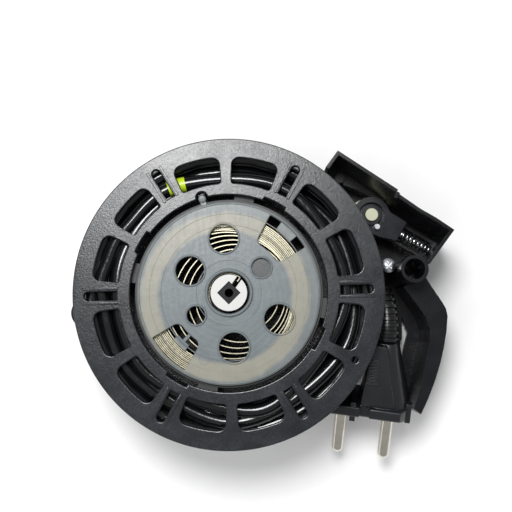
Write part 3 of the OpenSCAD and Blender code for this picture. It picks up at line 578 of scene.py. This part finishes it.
# ---------- front flange ----------
REPEATS = 6
REPEAT_ANGLE = 360 // REPEATS
WINDOW_PAIR_ANGLE = 31.6
WINDOW_FROM_PAIR = 13
WINDOW_MIDS = [WINDOW_PAIR_ANGLE + REPEAT_ANGLE * k + side * WINDOW_FROM_PAIR for k in range(REPEATS)
               for side in (-1, 1)]
WINDOW_HALF = 10.2
WINDOW_R = (DRUM_R + 1.65 * MM, FLANGE_R - 7.3 * MM)
WINDOW_CORNERS = (1 * MM, 3 * MM)
FIRST_SLOT = 1.6
SLOT_ANGLES = [FIRST_SLOT + REPEAT_ANGLE * k for k in range(REPEATS)]
SLOT_W = 3.4 * MM
SLOT_R = (43 * MM, 53.9 * MM)
OPENING_R = 38 * MM
NOTCH_ANGLES = (63, 150, 239.5, 333)
NOTCH_HALF = 7
NOTCH_DEPTH = 1.4 * MM
LATCH_ANGLE = 106
LATCH_RECESS_R = 2.2 * MM
LATCH_RECESS_OUT = 0.3 * MM
FLANGE_EDGE = 0.42 * MM
SKIRT_T = 2.1 * MM
SKIRT_DOWN = 1 * MM
SKIRT_EDGE = 0.5 * MM
PIN_HOLE_R = 1.25 * MM
PIN_HOLE_PLACE = (FLANGE_R - 5.4 * MM, 332)
SLOT_RIB_LEN = 13.5 * MM
SLOT_RIB_OUT = 1.1 * MM
SLOT_RIB_HALF = 0.5 * MM
SLOT_RIB_FOOT = 0.6 * MM
SLOT_RIB_EDGE = 0.2 * MM
HAIR = 0.02 * MM


def mirrored(points):
    """Points (radius, angle) on the other side of the middle, in the opposite order."""
    return [(r, -a) for r, a in reversed(points)]


def segment_loop(r0, r1, middle, half, c0, c1):
    """Outline of a ring segment with corner radii c0 inside and c1 outside."""
    d1 = math.degrees(c1 / (r1 - c1))
    d0 = math.degrees(c0 / (r0 + c0))
    quarter = [(math.sin(math.radians(t)), 1 - math.cos(math.radians(t))) for t in range(0, 91, 18)]
    outer = [(r1 - c1 + c1 * s, -half + d1 * c) for s, c in quarter]
    inner = [(r0 + c0 - c0 * s, half - d0 * c) for s, c in quarter]
    steps = 12
    rim = [(r1, (half - d1) * (2 * k / steps - 1)) for k in range(1, steps)]
    hub = [(r0, (half - d0) * (1 - 2 * k / steps)) for k in range(1, steps)]
    loop = outer + rim + mirrored(outer) + inner + hub + mirrored(inner)
    return [polar(r, middle + a) for r, a in loop]


def opening_loop():
    """The flange's middle opening with its bayonet notches and the latch's recess."""
    loop = []
    for k in range(720):
        angle = k / 2
        radius = OPENING_R
        if any(abs(angle - notch) < NOTCH_HALF for notch in NOTCH_ANGLES):
            radius += NOTCH_DEPTH
        across = math.radians(angle - LATCH_ANGLE) * OPENING_R
        if abs(across) < LATCH_RECESS_R:
            bulge = math.sqrt(LATCH_RECESS_R ** 2 - across ** 2)
            radius = max(radius, OPENING_R + LATCH_RECESS_OUT + bulge)
        loop.append(polar(radius, angle))
    return loop


def slot_loop(angle):
    half = SLOT_W / 2
    outline = [(SLOT_R[0], -half)] + arc(half, -90, 90, 12, (SLOT_R[1], 0)) + [(SLOT_R[0], half)]
    turn = math.radians(angle)
    return [(x * math.cos(turn) - y * math.sin(turn), x * math.sin(turn) + y * math.cos(turn))
            for x, y in outline]


def ring_tree():
    """Copies of a shape turned round the Z axis in equal steps."""
    tree, entry, leave = new_tree("ring_of_copies", Count=6, Start=0.0, Finish=None)
    points = tree.nodes.new("GeometryNodeMeshLine")
    points.inputs["Offset"].default_value = (0, 0, 0)
    index = tree.nodes.new("GeometryNodeInputIndex")
    step = tree.nodes.new("ShaderNodeMath")
    step.operation = "DIVIDE"
    step.inputs[0].default_value = 2 * math.pi
    turn = tree.nodes.new("ShaderNodeMath")
    turn.operation = "MULTIPLY_ADD"
    spin = tree.nodes.new("ShaderNodeCombineXYZ")
    copies = tree.nodes.new("GeometryNodeInstanceOnPoints")
    links = tree.links
    links.new(entry.outputs["Count"], points.inputs["Count"])
    links.new(entry.outputs["Count"], step.inputs[1])
    links.new(index.outputs["Index"], turn.inputs[0])
    links.new(step.outputs[0], turn.inputs[1])
    links.new(entry.outputs["Start"], turn.inputs[2])
    links.new(turn.outputs[0], spin.inputs["Z"])
    links.new(points.outputs["Mesh"], copies.inputs["Points"])
    links.new(entry.outputs["Geometry"], copies.inputs["Instance"])
    links.new(spin.outputs["Vector"], copies.inputs["Rotation"])
    return finish_tree(tree, entry, leave, copies.outputs["Instances"])


RING_OF_COPIES = ring_tree()


def ring_of(mesh, count, start, finish):
    source = bpy.data.objects.new("copied", mesh)
    bpy.context.scene.collection.objects.link(source)
    return run_tree(source, RING_OF_COPIES, Count=count, Start=math.radians(start), Finish=finish)


def block_mesh(x0, x1, y0, y1, z0, z1, edge):
    """A block with rounded edges."""
    return plate_mesh([[(x0, y0), (x1, y0), (x1, y1), (x0, y1)]], z0, z1, edge)


def make_front_flange():
    finish = FINISHES["flange_plastic"]
    windows = [segment_loop(*WINDOW_R, a, WINDOW_HALF, *WINDOW_CORNERS) for a in WINDOW_MIDS]
    slots = [slot_loop(a) for a in SLOT_ANGLES]
    pin_hole = ring(PIN_HOLE_R, polar(*PIN_HOLE_PLACE), 15)
    loops = [ring(FLANGE_R, step=1.2), opening_loop()] + windows + slots + [pin_hole]
    body = plate_mesh(loops, WIND_Z1, FLANGE_TOP, FLANGE_EDGE)
    skirt_profile = rounded_box_profile(FLANGE_R - SKIRT_T, FLANGE_R, low("front_flange").z,
                                        FLANGE_TOP - SKIRT_DOWN, SKIRT_EDGE)
    skirt = lathe_mesh(skirt_profile, steps=256)
    ribs = []
    for side in (-1, 1):
        middle = side * (SLOT_W / 2 + SLOT_RIB_OUT)
        bar = block_mesh(WINDOW_R[0], WINDOW_R[0] + SLOT_RIB_LEN, middle - SLOT_RIB_HALF,
                         middle + SLOT_RIB_HALF, FLANGE_TOP - SLOT_RIB_FOOT, FLANGE_TOP + SLOT_RIB_UP - HAIR,
                         SLOT_RIB_EDGE)
        ribs.append(ring_of(bar, REPEATS, SLOT_ANGLES[0], finish))
    mesh = joined("flange", [body, skirt] + ribs)
    place(show("front_flange_moulding", mesh, finish, 28), "reel", "front_flange")


# ---------- spring cover ----------
# Round holes: distance from the middle in mm, angle and diameter in mm
COVER_HOLES = ((21.1, 95.5, 11.1), (17.3, 150.5, 11.0), (21.1, 275.6, 11.4), (21.8, 332.5, 11.3),
               (15.3, 214.5, 7.0))
DIMPLE = (15.8, 38, 7.4)
# Ring segments: inner and outer radius in mm, middle angle and half angle
COVER_WINDOWS = ((22.2, 34.2, 46.5, 15.5), (22.0, 34.0, 225.5, 15.0))
COVER_TABS = ((30.4, 34.6, 46.8, 6.8), (25.2, 28.0, 226.5, 6.6), (21.2, 25.4, 227, 1.6))
HUB_HOLE_R = 8 * MM
HUB_NOTCH_ANGLE = 275
HUB_NOTCH_HALF = 5
HUB_NOTCH_DEPTH = 1.2 * MM
COVER_TOP = COVER_Z + COVER_T
COVER_EDGE = 0.35 * MM
LIP_FOOT = COVER_Z + 0.4 * MM
FAINT_RINGS = (12.4, 26.0, 30.5)
GATE_PLACE = (27 * MM, 250)
LATCH_HALF = 1.2 * MM
PIP_R = 1.5 * MM
PIP_TOP_R = 1.1 * MM
PIP_CENTRE_R = 0.01 * MM


def lip_mesh(radius, width, centre, z0, z1, steps=48):
    """A raised round lip."""
    profile = rounded_box_profile(radius, radius + width, z0, z1, min(width, z1 - z0) * 0.42)
    return lathe_mesh(profile, centre, steps)


def hub_loop():
    """The cover's middle hole with its small notch."""
    loop = []
    for angle in range(0, 360, 2):
        deeper = HUB_NOTCH_DEPTH if abs(angle - HUB_NOTCH_ANGLE) < HUB_NOTCH_HALF else 0
        loop.append(polar(HUB_HOLE_R + deeper, angle))
    return loop


def make_cover():
    outline = ring(COVER_R, step=1.5)
    holes = [ring(d * MM / 2, polar(r * MM, a), 8) for r, a, d in COVER_HOLES]
    dimple_at = polar(DIMPLE[0] * MM, DIMPLE[1])
    dimple = ring(DIMPLE[2] * MM / 2, dimple_at, 8)
    windows = [segment_loop(r0 * MM, r1 * MM, a, half, 2.5 * MM, 0.5 * MM)
               for r0, r1, a, half in COVER_WINDOWS]
    shells = [plate_mesh([outline, hub_loop(), dimple] + holes + windows, COVER_Z, COVER_TOP, COVER_EDGE)]
    for r, a, d in COVER_HOLES + (DIMPLE,):
        shells.append(lip_mesh(d * MM / 2 + HAIR, 0.75 * MM, polar(r * MM, a), LIP_FOOT,
                               COVER_TOP + 0.55 * MM))
    shells.append(lip_mesh(HUB_HOLE_R + 0.1 * MM, 1.2 * MM, (0, 0), LIP_FOOT, COVER_TOP + 0.95 * MM, 96))
    for radius in FAINT_RINGS:
        shells.append(lip_mesh(radius * MM, 0.35 * MM, (0, 0), COVER_TOP - 0.5 * MM, COVER_TOP + 0.05 * MM,
                               160))
    shells.append(lip_mesh(COVER_R - 1.1 * MM, 0.7 * MM, (0, 0), COVER_TOP - 0.6 * MM, COVER_TOP + 0.3 * MM,
                           160))
    shells.append(lip_mesh(1.9 * MM, 0.3 * MM, polar(*GATE_PLACE), COVER_TOP - 0.5 * MM,
                           COVER_TOP + 0.06 * MM))
    floor = plate_mesh([ring(DIMPLE[2] * MM / 2 + 0.3 * MM, dimple_at, 8)], COVER_Z, COVER_Z + 0.6 * MM,
                       0.1 * MM)
    tabs = []
    for r0, r1, a, half in COVER_TABS:
        outline = segment_loop(r0 * MM, r1 * MM, a, half, 0.4 * MM, 0.4 * MM)
        tabs.append(plate_mesh([outline], COVER_Z + 0.1 * MM, COVER_Z + 1.0 * MM, 0.2 * MM))
    latch = block_mesh(COVER_R - 1 * MM, OPENING_R, -LATCH_HALF, LATCH_HALF, COVER_Z, COVER_Z + 1.2 * MM,
                       0.3 * MM)
    latch.transform(Matrix.Rotation(math.radians(LATCH_ANGLE), 4, "Z"))
    pip_profile = [(PIP_CENTRE_R, COVER_Z), (PIP_R, COVER_Z), (PIP_R, COVER_TOP),
                   (PIP_TOP_R, COVER_TOP + 0.4 * MM), (PIP_CENTRE_R, COVER_TOP + 0.55 * MM)]
    pip = lathe_mesh(pip_profile, polar(OPENING_R, LATCH_ANGLE), 32)
    mesh = joined("cover", shells + tabs + [latch, pip])
    place(show("spring_cover_moulding", mesh, FINISHES["cover_plastic"], 32), "reel", "spring_cover")
    blind = show("spring_cover_blind_hole", floor, FINISHES["thin_cover"], 32)
    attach(blind, "reel")


# ---------- spring ----------
# Coil, its radius, how far its centre is off the reel's and towards which angle
OPEN_COILS = ((0, 7.4, 0, 345), (1, 11.2, 2.6, 350), (2, 16.3, 4.4, 345), (3, 18.5, 3.9, 338),
              (4, 20.5, 3.3, 330), (5, 22.4, 2.7, 318), (6, 24.2, 2.1, 296), (7, 25.6, 2.0, 255),
              (8, 26.1, 2.1, SPRING_LEAN))
SPRING_START = 55
COIL_RISE = (-0.55, 0.05)
COIL_STEPS = 90
ARBOR_ENTRY = (1.6 * MM, 0.3 * MM)


def ribbon_mesh(points, thickness, z0, z1):
    """An upright strip along points (x, y, rise), with closed ends."""
    count = len(points)
    verts, faces = [], []
    for i, (x, y, rise) in enumerate(points):
        before, after = points[max(i - 1, 0)], points[min(i + 1, count - 1)]
        along = Vector((after[0] - before[0], after[1] - before[1]))
        side = Vector((along.y, -along.x)).normalized() * thickness / 2
        for s in (1, -1):
            verts += [(x + s * side.x, y + s * side.y, z0), (x + s * side.x, y + s * side.y, z1 + rise)]
    for i in range(count - 1):
        a, b = 4 * i, 4 * i + 4
        faces += [(a, b, b + 1, a + 1), (a + 1, b + 1, b + 3, a + 3), (a + 3, b + 3, b + 2, a + 2),
                  (a + 2, b + 2, b, a)]
    faces += [(0, 1, 3, 2), (4 * count - 4, 4 * count - 2, 4 * count - 1, 4 * count - 3)]
    mesh = bpy.data.meshes.new("ribbon")
    mesh.from_pydata(verts, [], faces)
    return tidy_mesh(mesh)


def open_coil(coil):
    """Radius and centre of the open spiral at a coil count, between the rows of OPEN_COILS."""
    index = min(int(coil), len(OPEN_COILS) - 2)
    part = coil - index
    rows = [OPEN_COILS[index], OPEN_COILS[index + 1]]
    centres = [Vector(polar(off * MM, towards)) for _, _, off, towards in rows]
    radius = (rows[0][1] + (rows[1][1] - rows[0][1]) * part) * MM
    return radius, centres[0].lerp(centres[1], part)


def spring_points():
    """Open coils from the arbor outward, then coils packed on each other, leaning to one side."""
    chance = random.Random(4)
    opened = OPEN_COILS[-1][0]
    total = opened + PACKED_COILS
    heights = [chance.uniform(*COIL_RISE) * MM for _ in range(int(total) + 3)]
    points = [(*polar(ARBOR_R - inward, SPRING_START), heights[0]) for inward in ARBOR_ENTRY]
    for k in range(int(COIL_STEPS * total)):
        coil = k / COIL_STEPS
        angle = math.radians(SPRING_START) + 2 * math.pi * coil
        if coil < opened:
            radius, centre = open_coil(coil)
        else:
            radius = PACK_IN_R + PACK_PITCH * (coil - opened)
            centre = Vector(polar(PACK_OFFSET, SPRING_LEAN))
        whole = int(coil)
        rise = heights[whole] + (heights[whole + 1] - heights[whole]) * (coil - whole)
        points.append((centre.x + radius * math.cos(angle), centre.y + radius * math.sin(angle), rise))
    return points


def make_mainspring():
    mesh = ribbon_mesh(spring_points(), STRIP_T, STRIP_Z0, STRIP_Z1)
    place(show("mainspring_coils", mesh, FINISHES["spring_strip"], 30), "reel", "mainspring")


# ---------- cord on the reel ----------
CORD_R = CORD_D / 2
LOWEST_TURN = WIND_Z0 + CORD_R + 0.2 * MM
HIGHEST_TURN = WIND_Z1 - CORD_R - 0.25 * MM
LAYER_R = [DRUM_R + CORD_R, DRUM_R + CORD_R + 0.87 * CORD_D, DRUM_R + CORD_R + 1.8 * CORD_D]
# Angle, radius and drop below the highest turn of the loose turn that shows at the top
TOP_TURN = ((300, 45.2, 5), (255, 48, 2.4), (215, 49.6, 0.6), (180, 49.7, 0), (165, 49.0, 0), (148, 47.8, 0),
            (115, 46.8, 0), (60, 46.2, 0), (0, 45.4, 0), (-60, 44.8, 0), (-90, 44.6, 0), (-140, 44.2, 0),
            (-190, 44, 0.3), (-235, 44.6, 3), (-280, 46.6, 4.6), (-330, 49, 4), (-385, 50, 2.6),
            (-450, 50.1, 1.6), (-520, 49.6, 2.6), (-580, 49, 5))
CORD_STEP = 12
CORD_STEPS_PER_TURN = 360 // CORD_STEP
FIRST_LAYER_TURNS = 4
SECOND_LAYER_TURNS = 4
CLIMB_STEPS = 22
THIRD_LAYER_STEPS = 55
THIRD_LAYER_FALL = 0.193 * MM
THIRD_LAYER_DROP = 10.6
# Radius and further drop, in mm, at the third layer's end, which dives inward between its neighbours
THIRD_LAYER_END = ((53.4, 0.4), (51.2, 0.9), (48.6, 1.4), (46.4, 1.8))
TAPE_ANGLES = (109.5, 122.5)
TAPE_SWELL = (1.05, 0.02)


def spot(angle, radius, z):
    return Vector((*polar(radius, angle), z))


def top_turn_path():
    return smooth_path([spot(a, r * MM, HIGHEST_TURN - drop * MM) for a, r, drop in TOP_TURN], 14)


def wound_path():
    """From the drum's hole: the first layer up, the loose top turn, the second layer down, then a third."""
    hole_z = (low("cord_tail").z + high("cord_tail").z) / 2
    points = [spot(0, DRUM_R - 0.6 * MM, hole_z), spot(-2, DRUM_R + 1.6 * MM, hole_z),
              spot(-6, LAYER_R[0] - 0.3 * MM, hole_z)]
    first_end = TOP_TURN[0][0] - 360 * FIRST_LAYER_TURNS
    rise = HIGHEST_TURN - TOP_TURN[0][2] * MM - LOWEST_TURN
    for a in range(-CORD_STEP, first_end, -CORD_STEP):
        points.append(spot(a, LAYER_R[0], LOWEST_TURN + rise * min(1, a / first_end)))
    points += top_turn_path()
    last = TOP_TURN[-1][0]
    top = HIGHEST_TURN - TOP_TURN[-1][2] * MM
    steps = SECOND_LAYER_TURNS * CORD_STEPS_PER_TURN
    for k in range(1, steps + 1):
        points.append(spot(last - CORD_STEP * k, LAYER_R[1], top - (top - LOWEST_TURN) * k / steps))
    last -= 360 * SECOND_LAYER_TURNS
    for k in range(1, CLIMB_STEPS + 1):
        share = k / CLIMB_STEPS
        radius = LAYER_R[1] + (LAYER_R[2] - LAYER_R[1]) * min(1, 3 * share)
        points.append(spot(last - CORD_STEP * k, radius, LOWEST_TURN + (HIGHEST_TURN - LOWEST_TURN) * share))
    last -= CORD_STEP * CLIMB_STEPS
    for k in range(1, THIRD_LAYER_STEPS + 1):
        points.append(spot(last - CORD_STEP * k, LAYER_R[2] - 0.1 * MM, HIGHEST_TURN - THIRD_LAYER_FALL * k))
    last -= CORD_STEP * THIRD_LAYER_STEPS
    for k, (radius, drop) in enumerate(THIRD_LAYER_END):
        z = HIGHEST_TURN - (THIRD_LAYER_DROP + drop) * MM
        points.append(spot(last - CORD_STEP * (k + 1), radius * MM, z))
    return points


def make_wound_cord():
    mesh = swept(wound_path(), CORD_D, 14, FINISHES["cord_sheath"])
    place(show("wound_cord", mesh, FINISHES["cord_sheath"], 60), "reel", "cord_pack")


def make_marker_tape():
    """Tape wrapped round the top turn, slightly uneven."""
    start, end = TAPE_ANGLES
    path = [p for p in top_turn_path()
            if start < math.degrees(math.atan2(p.y, p.x)) < end and p.z > HIGHEST_TURN - 0.3 * MM]
    chance = random.Random(7)
    fat = [TAPE_SWELL[0] + chance.uniform(0, TAPE_SWELL[1]) for _ in path]
    mesh = swept(path, CORD_D, 24, FINISHES["marker_film"], fat)
    place(show("marker_tape_wrap", mesh, FINISHES["marker_film"], 50), "reel", "marker_tape")


# ---------- free end of the cord ----------
# Routes are points in mm
RELIEF_ROUTE = ((62, -18.1, 36.6), (62.4, -14, 37.4), (62.4, -10, 37.4), (62.2, -6, 36.8), (61.7, -2, 35.6),
                (60.7, 2, 34.2))
LEAD_ROUTE = ((60.7, 2, 34.2), (59.5, 5.6, 32.9), (57.9, 9.4, 31.8), (56.2, 13, 31.3), (54.2, 17, 31.1),
              (52, 20.6, 31))
EXIT_TURN_R = 55.1
EXIT_TURN_Z = 31
# Angle, radius and height of the points that lead the turn under the outer layer
DIVE = ((300, 54.4, 30.9), (311, 52.2, 30.6), (322, 49.4, 30.2), (333, 46.6, 30))
RELIEF_RIBS = 9
RELIEF_RIB_UP = 0.8
RELIEF_D = 8.6
RELIEF_TAPER = 2.3


def make_lead():
    turn = [(*polar(EXIT_TURN_R, a), EXIT_TURN_Z) for a in range(27, 292, 12)]
    dive = [(*polar(r, a), z) for a, r, z in DIVE]
    path = smooth_path([Vector(p) * MM for p in list(LEAD_ROUTE) + turn + dive], 3)
    mesh = swept(path, CORD_D, 16, FINISHES["cord_sheath"])
    place(show("lead_to_plug", mesh, FINISHES["cord_sheath"], 60), "frame", "cord_lead")


def make_relief():
    """Tapered sleeve with raised ribs."""
    path = smooth_path([Vector(p) * MM for p in RELIEF_ROUTE], 20)
    fat = []
    for k in range(len(path)):
        share = k / (len(path) - 1)
        wave = (share * RELIEF_RIBS) % 1
        rib = RELIEF_RIB_UP if 0.3 < wave < 0.8 else 0
        fat.append((RELIEF_D - RELIEF_TAPER * share) * MM + rib * 2 * MM)
    mesh = swept(path, 1.0, 24, FINISHES["relief_rubber"], fat)
    place(show("ribbed_relief", mesh, FINISHES["relief_rubber"], 40), "frame", "strain_relief")


# ---------- brake spring ----------
JOINTS = {joint["name"]: joint for joint in frame["joints"]}
SLIDE = Vector(JOINTS["brake_slide"]["axis"])
SPRING_WIRE = 0.7 * MM
SPRING_COILS = 9
SPRING_LEN = 13.7 * MM
SPRING_COIL_STEPS = 24
SPRING_END_SHARE = 0.08
SPRING_END_RISE = 1.6


def make_brake_spring():
    lo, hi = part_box("brake_spring")
    middle = (lo + hi) / 2
    across = Vector((-SLIDE.y, SLIDE.x, 0))
    outside = hi.z - lo.z
    length = SPRING_LEN
    radius = (outside - SPRING_WIRE) / 2
    steps = SPRING_COILS * SPRING_COIL_STEPS
    points = []
    for k in range(steps + 1):
        turn = 2 * math.pi * SPRING_COILS * k / steps
        share = k / steps
        eased = min(max((share - SPRING_END_SHARE) / (1 - 2 * SPRING_END_SHARE), 0), 1)
        closed = share * SPRING_WIRE * SPRING_END_RISE
        along = SPRING_WIRE / 2 + closed + eased * (length - SPRING_WIRE * (SPRING_END_RISE + 1))
        round_wire = across * radius * math.cos(turn) + Vector((0, 0, radius * math.sin(turn)))
        points.append(middle + SLIDE * (along - length / 2) + round_wire)
    mesh = swept(points, SPRING_WIRE, 10, FINISHES["bright_steel"])
    piece = place(show("brake_spring_coil", mesh, FINISHES["bright_steel"], 60), "brake_lever",
                  "brake_spring")
    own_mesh(piece)


# ---------- plug ----------
MOUNTS = {mount["name"]: mount for mount in frame["record"]["mounts"]}
PIN_LEFT = Vector(MOUNTS["plug_pin_left"]["pos_m"])
PIN_RIGHT = Vector(MOUNTS["plug_pin_right"]["pos_m"])
PLUG_AXIS = Vector(MOUNTS["plug_pin_left"]["axis"]).normalized()
PLUG_W = 35.2 * MM
PLUG_H = 21 * MM
PLUG_LEN = 34 * MM
COLLAR_LEN = 8 * MM
COLLAR_RAKE = 0.36
COLLAR_EDGE = 0.7 * MM
GROOVE_HALF = 1.9 * MM
GROOVE_DEPTH = 3 * MM
# Grip sections: share of the way back, then sideways offset, half width and half height in mm
GRIP = ((0.0, 7.2, 10.2, 8.8), (0.12, 7.1, 9.7, 8.5), (0.35, 6.7, 8.2, 7.7), (0.6, 6.1, 6.9, 6.8),
        (0.85, 5.5, 5.6, 5.8), (0.96, 5.25, 5.2, 5.3), (1.0, 5.2, 4.4, 4.5))
# Wedge on the grip, each from front to back in mm: sideways offset, half width and height
WEDGE = ((4.9, 3.1), (7.0, 2.9), (9.6, 7.2))
WEDGE_SHARES = (0.03, 0.06, 0.3, 0.6, 0.9, 0.99)
WEDGE_END_INSET = 0.4 * MM
RIB_COUNT = 9
FIRST_RIB = 0.40
RIB_PITCH = 0.045
RIB_HALF = 0.3 * MM
# Short rails behind the collar: sideways place and top
COLLAR_RAILS = ((-4.6 * MM, 9.6 * MM), (17.3 * MM, 5 * MM))
COLLAR_RAIL_HALF = 1.1 * MM


def plug_matrix():
    """From the plug's own frame, with its axis along Z, to its place."""
    across = (PIN_RIGHT - PIN_LEFT).normalized()
    up = PLUG_AXIS.cross(across)
    turned = Matrix((across, up, PLUG_AXIS)).transposed().to_4x4()
    return Matrix.Translation((PIN_LEFT + PIN_RIGHT) / 2) @ turned


def loft_mesh(rings):
    """Skin through closed rings of points, with flat ends."""
    count = len(rings[0])
    verts = [p for each in rings for p in each]
    faces = [(k * count + i, k * count + (i + 1) % count, (k + 1) * count + (i + 1) % count,
              (k + 1) * count + i)
             for k in range(len(rings) - 1) for i in range(count)]
    faces += [tuple(range(count - 1, -1, -1)), tuple(range((len(rings) - 1) * count, len(rings) * count))]
    mesh = bpy.data.meshes.new("loft")
    mesh.from_pydata(verts, [], faces)
    return tidy_mesh(mesh)


def squircle(cx, half_w, half_h, z, power=3.2, count=48):
    """A rounded rectangle, narrower towards its top."""
    points = []
    for k in range(count):
        a = 2 * math.pi * k / count
        c, s = math.cos(a), math.sin(a)
        x = math.copysign(abs(c) ** (2 / power), c)
        y = math.copysign(abs(s) ** (2 / power), s)
        points.append((cx + half_w * x * (1 - 0.16 * y), half_h * y, z))
    return points


def collar_loop():
    """Round face cut flat above and below, with the groove in its upper side."""
    half_h = PLUG_H / 2
    lean = math.degrees(math.asin(half_h / (PLUG_W / 2)))
    right = arc(PLUG_W / 2, -lean, lean, 3)
    left = arc(PLUG_W / 2, 180 - lean, 180 + lean, 3)
    deep = half_h - GROOVE_DEPTH
    groove = [(GROOVE_HALF, half_h), (GROOVE_HALF, deep), (-GROOVE_HALF, deep), (-GROOVE_HALF, half_h)]
    return right + groove + left


def wedge_at(share):
    """Sideways offset, half width and height of the wedge at a share of the grip's length, and its place."""
    middle, half_w, top = ((start + (end - start) * share) * MM for start, end in WEDGE)
    return middle, half_w, top, -COLLAR_LEN - share * (PLUG_LEN - COLLAR_LEN)


def wedge_mesh():
    rings = []
    for share in WEDGE_SHARES:
        middle, half_w, top, z = wedge_at(share)
        inset = WEDGE_END_INSET if share in (WEDGE_SHARES[0], WEDGE_SHARES[-1]) else 0
        foot, shoulder = top - 4 * MM, top - 0.3 * MM
        section = ((1.06, foot), (1.0, shoulder), (0.96, top), (-0.96, top), (-1.0, shoulder), (-1.06, foot))
        rings.append([(middle + x * (half_w - inset), y - inset, z) for x, y in section])
    return loft_mesh(rings)


def grip_rib(k):
    """One of the fine ribs on the left half of the wedge's top."""
    middle, half_w, top, z = wedge_at(FIRST_RIB + RIB_PITCH * k)
    return block_mesh(middle - half_w * 0.9, middle - half_w * 0.02, top - 0.5 * MM, top + 0.6 * MM,
                      z - RIB_HALF, z + RIB_HALF, 0.14 * MM)


def collar_mesh():
    """The collar, with its front face raked back above the pins."""
    collar = plate_mesh([collar_loop()], -COLLAR_LEN, 0, COLLAR_EDGE)
    for vertex in collar.vertices:
        if vertex.co.z > -COLLAR_LEN / 2:
            vertex.co.z -= COLLAR_RAKE * max(vertex.co.y, 0)
    return collar


def make_plug():
    grip_start = -COLLAR_LEN + 1 * MM
    grip_len = PLUG_LEN - COLLAR_LEN + 1 * MM
    rings = [squircle(x * MM, w * MM, h * MM, grip_start - share * grip_len) for share, x, w, h in GRIP]
    shells = [loft_mesh(rings), collar_mesh(), wedge_mesh()]
    shells += [grip_rib(k) for k in range(RIB_COUNT)]
    for x, top in COLLAR_RAILS:
        shells.append(block_mesh(x - COLLAR_RAIL_HALF, x + COLLAR_RAIL_HALF, 1.5 * MM, top,
                                 -COLLAR_LEN - 1.5 * MM, -1.2 * MM, 0.35 * MM))
    mesh = joined("plug", shells)
    mesh.transform(plug_matrix())
    place(show("plug_moulding", mesh, FINISHES["plug_plastic"], 38), "frame", "plug_body")


make_camera()
make_studio()
make_floor()
make_front_flange()
make_cover()
make_mainspring()
make_wound_cord()
make_marker_tape()
make_lead()
make_relief()
make_brake_spring()
make_plug()
